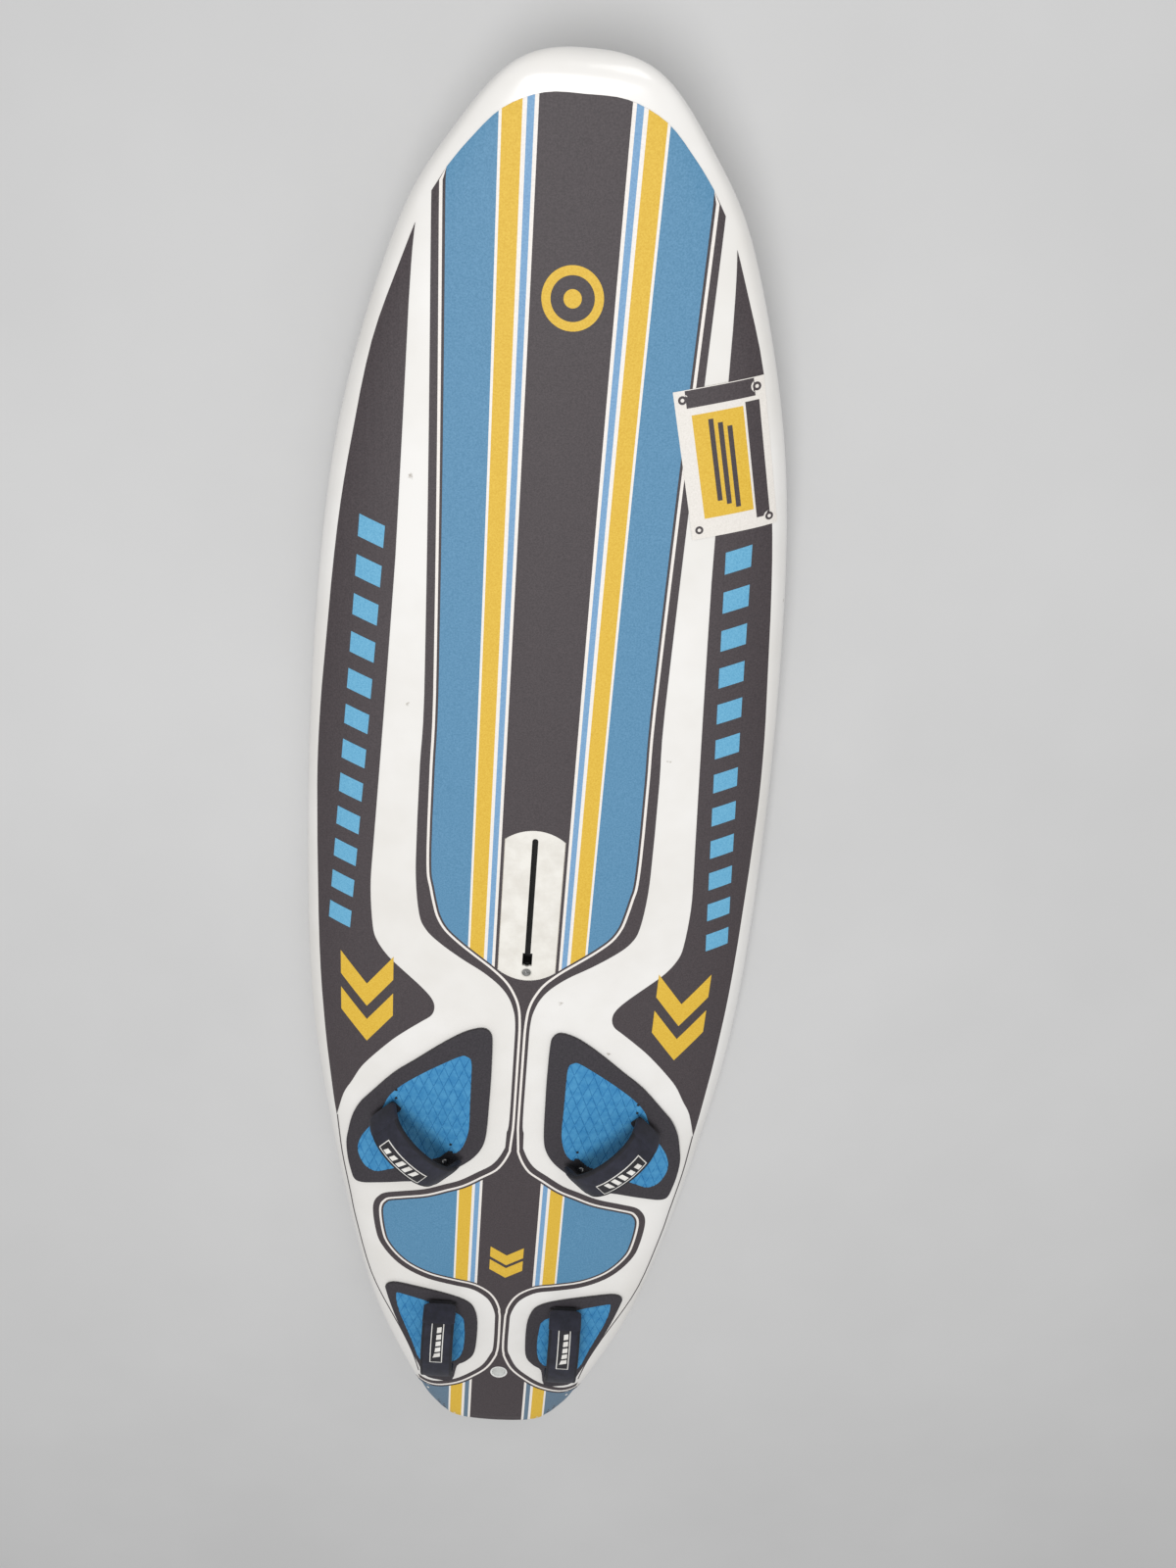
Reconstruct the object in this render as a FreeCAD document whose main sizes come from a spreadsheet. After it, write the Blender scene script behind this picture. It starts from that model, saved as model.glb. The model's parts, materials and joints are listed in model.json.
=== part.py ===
"""Windsurf board for flat-water freeride: foam core, sandwich skins, boxes, pads and footstraps.

Row frame: +X to starboard, +Y to the nose, +Z up. The origin is under the middle of the board,
on the plane that its flat bottom rests on. All sizes are in millimetres.
"""
import FreeCAD, Part
import math
import os

V = FreeCAD.Vector

# ---------------------------------------------------------------------------------------------
# Driving dimensions, kept in the document's sheet
# ---------------------------------------------------------------------------------------------
SIZES = {
    # board blank
    "board_length": 2610, "board_width": 790, "board_thickness": 125,
    "nose_scoop": 205, "deck_scoop": 140, "tail_thinning": 22, "tail_thinning_run": 700,
    "end_rounding": 42, "skin_wall": 3, "bottom_trim": 0.6,
    # mast track box, in the deck
    "track_plate_width": 100, "track_plate_run": 260, "track_plate_bow": 19,
    "track_centre_from_tail": 1352, "track_depth": 42, "track_lip": 9,
    "track_slot_width": 10, "track_slot_run": 255, "track_channel_width": 24,
    "track_channel_depth": 24, "track_channel_setback": 3, "track_pocket_width": 17, "track_pocket_run": 26,
    "block_margin": 26, "block_floor": 20,
    # vent plug
    "vent_from_plate_end": 16, "vent_housing_radius": 10, "vent_housing_depth": 21,
    "vent_thread_radius": 5, "vent_head_radius": 7.6, "vent_head_depth": 3.2,
    "vent_recess": 0.8, "vent_seal_section": 2, "vent_shank_run": 13, "vent_passage_radius": 2,
    "coin_slot_width": 1.8, "coin_slot_depth": 1.6,
    # fin box, in the bottom
    "fin_bolt_from_tail": 193, "fin_cavity_run": 152, "fin_cavity_width": 22,
    "fin_cavity_depth": 70, "fin_box_wall": 8, "fin_bolt_radius": 3.5,
    "cup_radius": 17, "cup_wall": 2, "cup_floor": 5,
    # pads
    "pad_height": 7, "pad_hole_radius": 3.6,
    # footstraps
    "foot_spacing": 150, "front_strap_x": 183, "front_strap_from_tail": 839,
    "front_strap_angle": 44.5, "rear_strap_x": 127, "rear_strap_from_tail": 323,
    "strap_rise": 74, "strap_bulge": 3, "strap_spring_height": 22,
    "webbing_width": 46, "webbing_height": 3, "sleeve_width": 56, "sleeve_wall": 4,
    "sleeve_start": 20, "label_width": 26, "label_height": 0.8,
    "strap_lean": 20, "lean_margin": 3, "tab_run": 34, "tab_height": 3,
    "washer_radius": 9, "washer_height": 1.2, "screw_head_radius": 5, "screw_head_height": 2.4,
    "screw_shank_radius": 2.4, "screw_run": 27, "washer_gap": 0.7, "strap_clearance": 1.2,
    # strap plugs, in the deck
    "plug_hole_pitch": 18, "plug_hole_count": 4, "plug_width": 22, "plug_depth": 24,
    "plug_hole_radius": 2.5, "plug_hole_depth": 19,
    # clearances
    "free_gap": 0.3, "thread_gap": 0.05,
}

doc = FreeCAD.newDocument("windsurf_board")
sheet = doc.addObject("Spreadsheet::Sheet", "sizes")
for row, (alias, value) in enumerate(SIZES.items(), start=1):
    sheet.set(f"A{row}", alias)
    sheet.set(f"B{row}", str(value))
    sheet.setAlias(f"B{row}", alias)
doc.recompute()


def size(alias):
    """The value of one sheet cell."""
    return float(getattr(sheet, alias))


def bind(item, **expressions):
    """Bind properties of a document object to sheet expressions."""
    for prop, text in expressions.items():
        item.setExpression(prop.replace("__", "."), text)
    return item


LENGTH = size("board_length")
THICK = size("board_thickness")
SKIN = size("skin_wall")
TAIL_Y = -LENGTH / 2


# ---------------------------------------------------------------------------------------------
# The blank's shape as formulas of the distance from the tail
# ---------------------------------------------------------------------------------------------
# The plan outline: half widths and distances from the tail, as shares of width and length.
OUTLINE = [(0, 0), (0.094, 0.0032), (0.150, 0.0115), (0.2125, 0.0352), (0.268, 0.0686),
           (0.349, 0.135), (0.406, 0.214), (0.4595, 0.3165), (0.491, 0.401), (0.5, 0.498),
           (0.487, 0.626), (0.4485, 0.7517), (0.3915, 0.8395), (0.295, 0.9218),
           (0.205, 0.9640), (0.110, 0.9930), (0, 1)]

starboard_edge = [V(share * size("board_width"), run * LENGTH, 0) for share, run in OUTLINE]
port_edge = [V(-point.x, point.y, 0) for point in reversed(starboard_edge[1:-1])]
outline_curve = Part.BSplineCurve()
outline_curve.interpolate(Points=starboard_edge + port_edge, PeriodicFlag=True)
nose_parameter = outline_curve.parameter(V(0, LENGTH, 0))


def half_width(from_tail):
    """The plan outline's half width at a distance from the tail."""
    across = Part.LineSegment(V(1, from_tail, 0), V(size("board_width"), from_tail, 0))
    return outline_curve.intersectCC(across)[0].X


def bottom_height(from_tail):
    """The bottom on the centre line: flat, then the nose scoop from the middle forward."""
    share = max(0, from_tail / LENGTH - 0.5) / 0.5
    return size("nose_scoop") * share ** 2.5 - size("bottom_trim")


def top_height(from_tail):
    """The deck on the centre line: flat, rising at the nose and thinning to the tail."""
    share = max(0, from_tail / LENGTH - 0.47) / 0.53
    thinning = max(0, 1 - from_tail / size("tail_thinning_run"))
    return THICK + size("deck_scoop") * share ** 2.6 - size("tail_thinning") * thinning ** 2


# Half a cross-section: shares of the half width and of the thickness, from chine to deck centre.
RAIL = [(0.93, 0), (0.985, 0.13), (1, 0.36), (0.975, 0.60), (0.90, 0.80), (0.72, 0.93),
        (0.40, 0.985), (0, 1)]
RAIL_LINE = 0.36


def whole_section(half, y, low, high):
    """Points from the starboard chine over the deck to the port chine."""
    side = [V(share * half, y, low + up * (high - low)) for share, up in RAIL]
    return side + [V(-point.x, y, point.z) for point in reversed(side[:-1])]


# One set of curve parameters for every section, from chord lengths on the widest one, so that
# the loft's surface stays light.
widest = whole_section(size("board_width") / 2, 0, 0, THICK)
rail_parameters = [0]
for start, end in zip(widest, widest[1:]):
    rail_parameters.append(rail_parameters[-1] + start.distanceToPoint(end))


def deck_height(x, y):
    """The deck's height at a place in the row frame."""
    from_tail = y - TAIL_Y
    share = min(abs(x) / half_width(from_tail), 0.999)
    crown = Part.BSplineCurve()
    crown.interpolate(Points=[V(across, up, 0) for across, up in RAIL[2:]],
                      InitialTangent=V(0, 1, 0), FinalTangent=V(-1, 0, 0))
    upright = Part.LineSegment(V(share, 0.3, 0), V(share, 1.2, 0))
    rise = crown.intersectCC(upright)[0].Y
    low = bottom_height(from_tail)
    return low + rise * (top_height(from_tail) - low)


def end_share(from_tail):
    """How much of the thickness is left near either end, for rounded ends."""
    to_end = min(from_tail, LENGTH - from_tail)
    short = max(0, 1 - to_end / size("end_rounding"))
    return math.sqrt(max(0, 1 - short ** 2))


def cross_section(half, from_tail, inset):
    """One closed wire across the board, moved in from the outside by the skin's wall."""
    low = bottom_height(from_tail)
    high = top_height(from_tail)
    rail = low + RAIL_LINE * (high - low)
    left = end_share(from_tail)
    low = rail - (rail - low) * left + inset
    high = rail + (high - rail) * left - inset
    half = half - inset
    y = TAIL_Y + from_tail + inset * (1 - 2 * from_tail / LENGTH)
    points = whole_section(half, y, low, high)
    rail_curve = Part.BSplineCurve()
    rail_curve.interpolate(Points=points, Parameters=rail_parameters)
    bottom = Part.LineSegment(points[-1], points[0])
    return Part.Wire([rail_curve.toShape(), bottom.toShape()])


STATION_COUNT = 46
END_STATIONS = (0.3, 0.6)


def section_places():
    """Outline points at even steps round the edge, with a few more close to both ends."""
    even = outline_curve.discretize(Number=STATION_COUNT, First=0, Last=nose_parameter)[1:-1]
    tail = [V(even[0].x * share, even[0].y * share ** 2, 0) for share in END_STATIONS]
    nose = [V(even[-1].x * share, LENGTH - (LENGTH - even[-1].y) * share ** 2, 0)
            for share in reversed(END_STATIONS)]
    return tail + even + nose


stations = section_places()


def blank(inset):
    """The whole blank as one solid lofted through its cross-sections, with a flat bottom."""
    wires = [cross_section(point.x, point.y, inset) for point in stations]
    loft = Part.makeLoft(wires, True, False)
    below = Part.makeBox(2 * size("board_width"), 2 * LENGTH, THICK,
                         V(-size("board_width"), -LENGTH, inset - THICK))
    return loft.cut(below)


# ---------------------------------------------------------------------------------------------
# Small makers of document objects
# ---------------------------------------------------------------------------------------------
def feature(name, shape):
    """A document object for a shape that Part's own functions made."""
    item = doc.addObject("Part::Feature", name)
    item.Shape = shape
    return item


def cut(name, base, tool):
    item = doc.addObject("Part::Cut", name)
    item.Base = base
    item.Tool = tool
    return item


def common(name, base, tool):
    item = doc.addObject("Part::Common", name)
    item.Base = base
    item.Tool = tool
    return item


def group(name, members):
    item = doc.addObject("Part::Compound", name)
    item.Links = members
    return item


def fused(name, members):
    item = doc.addObject("Part::MultiFuse", name)
    item.Shapes = members
    return item


def mirrored(name, source):
    """The port copy of a starboard piece."""
    item = doc.addObject("Part::Mirroring", name)
    item.Source = source
    item.Base = V(0, 0, 0)
    item.Normal = V(1, 0, 0)
    return item


def cylinder(name, x, y, z, radius, height):
    item = doc.addObject("Part::Cylinder", name)
    bind(item, Radius=radius, Height=height, Placement__Base__x=x, Placement__Base__y=y,
         Placement__Base__z=z)
    return item


def box(name, x, y, z, length, width, height):
    item = doc.addObject("Part::Box", name)
    bind(item, Length=length, Width=width, Height=height, Placement__Base__x=x,
         Placement__Base__y=y, Placement__Base__z=z)
    return item


def sheet_text(text):
    """An expression in which each $word is a sheet alias."""
    return text.replace("$", "sizes.")


REACH = 400     # how far a cutting tool runs past what it cuts


def prism(name, wire, low, high):
    """An upright solid over a closed plan wire."""
    face = Part.Face(wire)
    face.translate(V(0, 0, low))
    return feature(name, face.extrude(V(0, 0, high - low)))


def rounded_bar(length, width, centre_x, centre_y, along_y):
    """A plan wire with straight sides and round ends."""
    reach = (length - width) / 2
    radius = width / 2
    arc_one = Part.Arc(V(reach, -radius, 0), V(reach + radius, 0, 0), V(reach, radius, 0))
    arc_two = Part.Arc(V(-reach, radius, 0), V(-reach - radius, 0, 0), V(-reach, -radius, 0))
    side_one = Part.LineSegment(V(reach, radius, 0), V(-reach, radius, 0))
    side_two = Part.LineSegment(V(-reach, -radius, 0), V(reach, -radius, 0))
    wire = Part.Wire([edge.toShape() for edge in (arc_one, side_one, arc_two, side_two)])
    if along_y:
        wire.rotate(V(0, 0, 0), V(0, 0, 1), 90)
    wire.translate(V(centre_x, centre_y, 0))
    return wire


nodes = {}


def node(name, item):
    """Name a finished piece; its label names its file."""
    item.Label = name
    nodes[name] = item
    return item


# ---------------------------------------------------------------------------------------------
# Blank, inner blank and the tool that parts the skins along the rail
# ---------------------------------------------------------------------------------------------
outer = feature("outer_blank", blank(0))
inner = feature("inner_blank", blank(SKIN))


def rail_divider():
    """Everything above the rail line, as one solid across the whole width."""
    crest = []
    for step in range(21):
        from_tail = LENGTH * step / 20
        low = bottom_height(from_tail)
        crest.append(V(0, TAIL_Y + from_tail, low + RAIL_LINE * (top_height(from_tail) - low)))
    first = crest[0] - V(0, REACH, 0)
    last = crest[-1] + V(0, REACH, 0)
    curve = Part.BSplineCurve()
    curve.interpolate(crest)
    sky = 2 * REACH
    sides = [Part.LineSegment(first, crest[0]).toShape(), curve.toShape(),
             Part.LineSegment(crest[-1], last).toShape(),
             Part.makePolygon([last, V(0, last.y, sky), V(0, first.y, sky), first])]
    face = Part.Face(Part.Wire(Part.__sortEdges__([e for s in sides for e in s.Edges])))
    face.translate(V(-size("board_width"), 0, 0))
    return face.extrude(V(2 * size("board_width"), 0, 0))


divider = feature("rail_divider", rail_divider())
shell = cut("skin_shell", outer, inner)


# ---------------------------------------------------------------------------------------------
# Mast track box: a moulded box with an undercut slot for the mast base's sliding nut
# ---------------------------------------------------------------------------------------------
track_y = TAIL_Y + size("track_centre_from_tail")
track_floor = THICK - size("track_depth")


def plate_wire(margin):
    """The track plate's plan: straight sides and bowed ends."""
    half = size("track_plate_width") / 2 + margin
    run = size("track_plate_run") / 2 + margin
    bow = size("track_plate_bow")
    fore = Part.Arc(V(half, run, 0), V(0, run + bow, 0), V(-half, run, 0))
    port = Part.LineSegment(V(-half, run, 0), V(-half, -run, 0))
    aft = Part.Arc(V(-half, -run, 0), V(0, -run - bow, 0), V(half, -run, 0))
    starboard = Part.LineSegment(V(half, -run, 0), V(half, run, 0))
    wire = Part.Wire([side.toShape() for side in (fore, port, aft, starboard)])
    wire.translate(V(0, track_y, 0))
    return wire


track_prism = prism("track_prism", plate_wire(0), track_floor, THICK + REACH)
track_solid = common("track_solid", track_prism, outer)

plate_aft = track_y - size("track_plate_run") / 2 - size("track_plate_bow")
vent_y = plate_aft + size("vent_from_plate_end")
slot_aft = vent_y + size("vent_housing_radius") + 2
slot_y = slot_aft + size("track_slot_run") / 2
slot_cut = prism("slot_cut", rounded_bar(size("track_slot_run"), size("track_slot_width"),
                                         0, slot_y, True),
                 THICK - size("track_lip") - 1, THICK + REACH)
channel_low = THICK - size("track_lip") - size("track_channel_depth")
channel_run = size("track_slot_run") - 2 * size("track_channel_setback")
channel_cut = prism("channel_cut", rounded_bar(channel_run, size("track_channel_width"),
                                               0, slot_y, True),
                    channel_low, THICK - size("track_lip"))
pocket_cut = box("pocket_cut", sheet_text("-$track_pocket_width/2"), f"{slot_aft + 2}",
                 f"{channel_low + 2}", sheet_text("$track_pocket_width"),
                 sheet_text("$track_pocket_run"), f"{REACH}")
housing_low = THICK - size("vent_housing_depth")
housing_hole = cylinder("housing_hole", "0", f"{vent_y}", f"{housing_low}",
                        sheet_text("$vent_housing_radius"), f"{REACH}")
vent_passage = cylinder("vent_passage", "0", f"{vent_y}",
                        f"{track_floor - size('block_floor') - 5}",
                        sheet_text("$vent_passage_radius"), f"{THICK}")
track_tools = fused("track_tools", [slot_cut, channel_cut, pocket_cut, housing_hole])
track_open = cut("track_open", track_solid, track_tools)
node("mast_track_box", cut("mast_track_box", track_open, vent_passage))

block_prism = prism("block_prism", plate_wire(size("block_margin")),
                    track_floor - size("block_floor"), THICK + REACH)
block_solid = common("block_solid", block_prism, inner)
block_tools = fused("block_tools", [track_prism, vent_passage])
node("mast_track_block", cut("mast_track_block", block_solid, block_tools))


# ---------------------------------------------------------------------------------------------
# Vent: threaded housing in the track plate, slotted screw and its seal
# ---------------------------------------------------------------------------------------------
def turned(name, profile, x, y, z):
    """A PartDesign body turned about its own Z axis from a half profile of (radius, height)."""
    body = doc.addObject("PartDesign::Body", name)
    sketch = body.newObject("Sketcher::SketchObject", f"{name}_profile")
    plane = [item for item in body.Origin.OriginFeatures if item.Role == "XZ_Plane"][0]
    sketch.AttachmentSupport = (plane, "")
    sketch.MapMode = "FlatFace"
    corners = [V(radius, height, 0) for radius, height in profile]
    for start, end in zip(corners, corners[1:] + corners[:1]):
        sketch.addGeometry(Part.LineSegment(start, end), False)
    turn = body.newObject("PartDesign::Revolution", f"{name}_turned")
    turn.Profile = sketch
    turn.ReferenceAxis = (sketch, ["V_Axis"])
    turn.Angle = 360
    body.Placement.Base = V(x, y, z)
    return body


def flush_with_deck(name, item):
    """Trim a piece so that its top lies in the deck's own surface."""
    return common(name, item, outer)


seal_low = THICK - size("vent_recess") - size("vent_head_depth") - size("vent_seal_section")
counterbore = size("vent_head_radius") + size("free_gap")
housing_body = turned("vent_housing_body",
                      [(size("vent_thread_radius"), 0), (size("vent_housing_radius"), 0),
                       (size("vent_housing_radius"), size("vent_housing_depth") + 3),
                       (counterbore, size("vent_housing_depth") + 3),
                       (counterbore, seal_low - housing_low),
                       (size("vent_thread_radius"), seal_low - housing_low)],
                      0, vent_y, housing_low)
node("vent_housing", flush_with_deck("vent_housing", housing_body))

head_low = seal_low + size("vent_seal_section")
shank = size("vent_thread_radius") - size("thread_gap")
screw_body = turned("vent_screw_body",
                    [(0, -size("vent_shank_run")), (shank - 1, -size("vent_shank_run")),
                     (shank, 1 - size("vent_shank_run")), (shank, 0),
                     (size("vent_head_radius"), 0),
                     (size("vent_head_radius"), size("vent_head_depth") - 0.4),
                     (size("vent_head_radius") - 0.4, size("vent_head_depth")),
                     (0, size("vent_head_depth"))],
                    0, vent_y, head_low)
coin_slot = box("coin_slot", f"{-size('vent_head_radius') - 1}",
                f"{vent_y} - sizes.coin_slot_width/2",
                f"{head_low} + sizes.vent_head_depth - sizes.coin_slot_depth",
                sheet_text("2*$vent_head_radius+2"), sheet_text("$coin_slot_width"),
                sheet_text("2*$coin_slot_depth"))
node("vent_screw", cut("vent_screw", screw_body, coin_slot))

seal = doc.addObject("Part::Torus", "vent_seal")
bind(seal, Radius1=sheet_text("$vent_thread_radius+$vent_seal_section/2+$free_gap/2"),
     Radius2=sheet_text("$vent_seal_section/2"), Placement__Base__y=f"{vent_y}",
     Placement__Base__z=f"{seal_low} + sizes.vent_seal_section/2")
node("vent_seal", seal)


# ---------------------------------------------------------------------------------------------
# Fin box in the bottom, its foam block, and the cup that the fin bolt drops into
# ---------------------------------------------------------------------------------------------
fin_y = TAIL_Y + size("fin_bolt_from_tail")
fin_top = size("fin_cavity_depth") + size("fin_box_wall")
fin_box_run = size("fin_cavity_run") + 2 * size("fin_box_wall")
fin_box_width = size("fin_cavity_width") + 2 * size("fin_box_wall")
fin_outer = prism("fin_outer", rounded_bar(fin_box_run, fin_box_width, 0, fin_y, True),
                  0, fin_top)
fin_cavity = prism("fin_cavity", rounded_bar(size("fin_cavity_run"), size("fin_cavity_width"),
                                             0, fin_y, True),
                   -size("fin_box_wall"), size("fin_cavity_depth"))
bolt_hole = cylinder("bolt_hole", "0", f"{fin_y}", f"{fin_top / 2}",
                     sheet_text("$fin_bolt_radius"), sheet_text("$board_thickness"))
fin_tools = fused("fin_tools", [fin_cavity, bolt_hole])
node("fin_box", cut("fin_box", fin_outer, fin_tools))

fin_block_run = fin_box_run + 2 * size("block_margin")
fin_block_width = fin_box_width + 2 * size("block_margin")
fin_block_prism = prism("fin_block_prism",
                        rounded_bar(fin_block_run, fin_block_width, 0, fin_y, True),
                        SKIN, fin_top)
node("fin_box_block", cut("fin_box_block", fin_block_prism, fin_outer))

cup_body = turned("cup_body",
                  [(size("fin_bolt_radius"), 0), (size("cup_radius"), 0),
                   (size("cup_radius"), THICK), (size("cup_radius") - size("cup_wall"), THICK),
                   (size("cup_radius") - size("cup_wall"), size("cup_floor")),
                   (size("fin_bolt_radius"), size("cup_floor"))],
                  0, fin_y, fin_top)
node("fin_bolt_cup", flush_with_deck("fin_bolt_cup", cup_body))
cup_hole = cylinder("cup_hole", "0", f"{fin_y}", f"{fin_top}",
                    sheet_text("$cup_radius"), sheet_text("$board_thickness"))


# ---------------------------------------------------------------------------------------------
# Footstrap places: middle, direction along the feet, and the row of holes beside each foot
# ---------------------------------------------------------------------------------------------
pitch = size("plug_hole_pitch")
count = int(size("plug_hole_count"))
plug_run = (count - 1) * pitch + size("plug_width")


def strap_place(side, x, from_tail, angle, row):
    """Feet, hole rows and local frame of one strap; row is the hole row's direction and start."""
    turn = math.radians(angle if side > 0 else 180 - angle)
    along = V(math.cos(turn), math.sin(turn), 0)
    middle = V(side * x, TAIL_Y + from_tail, 0)
    feet = []
    for end in (-1, 1):
        foot = middle + along * (end * size("foot_spacing") / 2)
        foot.z = deck_height(foot.x, foot.y)
        step = V(side * row["step_x"] * pitch, row["step_y"] * pitch, 0)
        holes = [foot + step * (index - row["foot_index"]) for index in range(count)]
        feet.append({"foot": foot, "holes": holes, "row_along_y": row["step_x"] == 0})
    lift = V(0, 0, size("pad_height"))
    span = (feet[1]["foot"] - feet[0]["foot"]).normalize()
    across = V(0, 0, 1).cross(span).normalize()
    frame = FreeCAD.Placement((feet[0]["foot"] + feet[1]["foot"]) * 0.5 + lift,
                              FreeCAD.Rotation(span, across, span.cross(across), "XYZ"))
    return {"feet": feet, "frame": frame}


FRONT_ROW = {"step_x": 0, "step_y": 1, "foot_index": 0}
REAR_ROW = {"step_x": -1, "step_y": 0, "foot_index": 1}
STRAPS = {}
for side_name, side_sign in (("left", -1), ("right", 1)):
    STRAPS[f"front_{side_name}"] = strap_place(side_sign, size("front_strap_x"),
                                               size("front_strap_from_tail"),
                                               size("front_strap_angle"), FRONT_ROW)
    STRAPS[f"rear_{side_name}"] = strap_place(side_sign, size("rear_strap_x"),
                                              size("rear_strap_from_tail"), 90, REAR_ROW)


# ---------------------------------------------------------------------------------------------
# Strap plugs: moulded inserts with a row of screw holes, flush with the deck
# ---------------------------------------------------------------------------------------------
plug_prisms = []
screw_holes = []
pad_holes = []
for strap_name, strap in STRAPS.items():
    plugs = []
    for number, foot in enumerate(strap["feet"]):
        name = f"{strap_name}_plug_{number}"
        middle = (foot["holes"][0] + foot["holes"][-1]) * 0.5
        floor = foot["foot"].z - size("plug_depth")
        wire = rounded_bar(plug_run, size("plug_width"), middle.x, middle.y,
                           foot["row_along_y"])
        plug_prism = prism(f"{name}_prism", wire, floor, floor + REACH)
        plug_prisms.append(plug_prism)
        holes = []
        for index, hole in enumerate(foot["holes"]):
            place = (f"{hole.x}", f"{hole.y}")
            holes.append(cylinder(f"{name}_hole_{index}", *place,
                                  f"{foot['foot'].z} - sizes.plug_hole_depth",
                                  sheet_text("$plug_hole_radius"), f"{REACH}"))
            pad_holes.append(cylinder(f"{name}_pad_hole_{index}", *place,
                                      f"{foot['foot'].z} - sizes.plug_hole_depth",
                                      sheet_text("$pad_hole_radius"), f"{REACH}"))
        hole_tool = fused(f"{name}_holes", holes)
        plug_blank = cut(f"{name}_drilled", plug_prism, hole_tool)
        plugs.append(flush_with_deck(name, plug_blank))
    node(f"{strap_name}_plugs", group(f"{strap_name}_plugs", plugs))
pad_hole_tool = group("pad_hole_tool", pad_holes)


# ---------------------------------------------------------------------------------------------
# Foam core and the two skins
# ---------------------------------------------------------------------------------------------
core_tools = group("core_tools", [block_prism, fin_block_prism, cup_hole] + plug_prisms)
node("foam_core", cut("foam_core", inner, core_tools))

deck_half = common("deck_half", shell, divider)
deck_tools = fused("deck_tools", [track_prism, cup_hole] + plug_prisms)
node("deck_laminate", cut("deck_laminate", deck_half, deck_tools))

hull_half = cut("hull_half", shell, divider)
node("hull_laminate", cut("hull_laminate", hull_half, fin_outer))


# ---------------------------------------------------------------------------------------------
# Deck pads: a dark border ring round a blue inlay, both of soft foam that follows the deck
# ---------------------------------------------------------------------------------------------
# Plan points as (share of the board's half width there, distance forward of the strap's middle).
FRONT_BORDER = [(0.168, 254), (0.133, 210), (0.133, 80), (0.150, 0), (0.230, -60),
                (0.405, -112), (0.560, -121), (0.800, -139), (0.872, -115), (0.876, -44),
                (0.845, 25), (0.752, 88), (0.610, 139), (0.405, 207), (0.255, 250)]
FRONT_INLAY = [(0.236, 188), (0.222, 150), (0.230, 24), (0.268, -24), (0.420, -70),
               (0.600, -88), (0.740, -98), (0.815, -50), (0.790, 8), (0.655, 88),
               (0.465, 148), (0.290, 190)]
REAR_BORDER = [(0.800, 105), (0.745, 116), (0.520, 108), (0.340, 94), (0.205, 66),
               (0.172, 20), (0.176, -52), (0.215, -88), (0.335, -115), (0.420, -158),
               (0.640, -158), (0.700, -120), (0.745, -50), (0.790, 40)]
REAR_INLAY = [(0.725, 84), (0.640, 92), (0.440, 76), (0.290, 42), (0.262, -10),
              (0.275, -66), (0.400, -104), (0.600, -110), (0.655, -60), (0.715, 30)]

pad_top = group("pad_top_surface", [outer])
bind(pad_top, Placement__Base__z=sheet_text("$pad_height"))
tab_top = group("tab_top_surface", [outer])
bind(tab_top, Placement__Base__z=sheet_text("$pad_height+$tab_height"))


def pad_wire(points, from_tail):
    """A smooth closed plan curve through the pad's points."""
    places = []
    for share, ahead in points:
        here = from_tail + ahead
        places.append(V(share * half_width(here), TAIL_Y + here, 0))
    curve = Part.BSplineCurve()
    curve.interpolate(Points=places, PeriodicFlag=True)
    return Part.Wire([curve.toShape()])


def pad_pieces(prefix, border, inlay, from_tail):
    """Starboard and port border and inlay of one pair of pads."""
    border_prism = prism(f"{prefix}_border_prism", pad_wire(border, from_tail), THICK / 2,
                         THICK + REACH)
    inlay_prism = prism(f"{prefix}_inlay_prism", pad_wire(inlay, from_tail), THICK / 2,
                        THICK + REACH)
    ring_prism = cut(f"{prefix}_ring_prism", border_prism, inlay_prism)
    for kind, plan in (("border", ring_prism), ("inlay", inlay_prism)):
        raised = common(f"{prefix}_{kind}_raised", plan, pad_top)
        slab = cut(f"{prefix}_{kind}_slab", raised, outer)
        drilled = cut(f"{prefix}_right_pad_{kind}", slab, pad_hole_tool)
        node(f"{prefix}_right_pad_{kind}", drilled)
        node(f"{prefix}_left_pad_{kind}", mirrored(f"{prefix}_left_pad_{kind}", drilled))


pad_pieces("front", FRONT_BORDER, FRONT_INLAY, size("front_strap_from_tail"))
pad_pieces("rear", REAR_BORDER, REAR_INLAY, size("rear_strap_from_tail"))


# ---------------------------------------------------------------------------------------------
# Footstraps: one webbing arch in a padded sleeve, made once and placed four times
# ---------------------------------------------------------------------------------------------
def elliptic_roll(name, offset, width):
    """A solid elliptic bar across the strap; offset is from the middle of the webbing."""
    rim = doc.addObject("Part::Ellipse", f"{name}_rim")
    bind(rim, MajorRadius=sheet_text(f"$foot_spacing/2+$strap_bulge+({offset})"),
         MinorRadius=sheet_text(f"$strap_rise-$strap_spring_height+({offset})"),
         Placement__Base__z=sheet_text("$strap_spring_height"))
    rim.Placement.Rotation = FreeCAD.Rotation(V(1, 0, 0), 90)
    roll = doc.addObject("Part::Extrusion", name)
    roll.Base = rim
    roll.DirMode = "Custom"
    roll.Dir = V(0, 1, 0)
    roll.Solid = True
    roll.Symmetric = True
    bind(roll, LengthFwd=sheet_text(width))
    return roll


def elliptic_band(name, inside, outside, width):
    """A band of one thickness, bent to the strap's arch."""
    return cut(name, elliptic_roll(f"{name}_out", outside, width),
               elliptic_roll(f"{name}_in", inside, f"{width}+2"))


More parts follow.
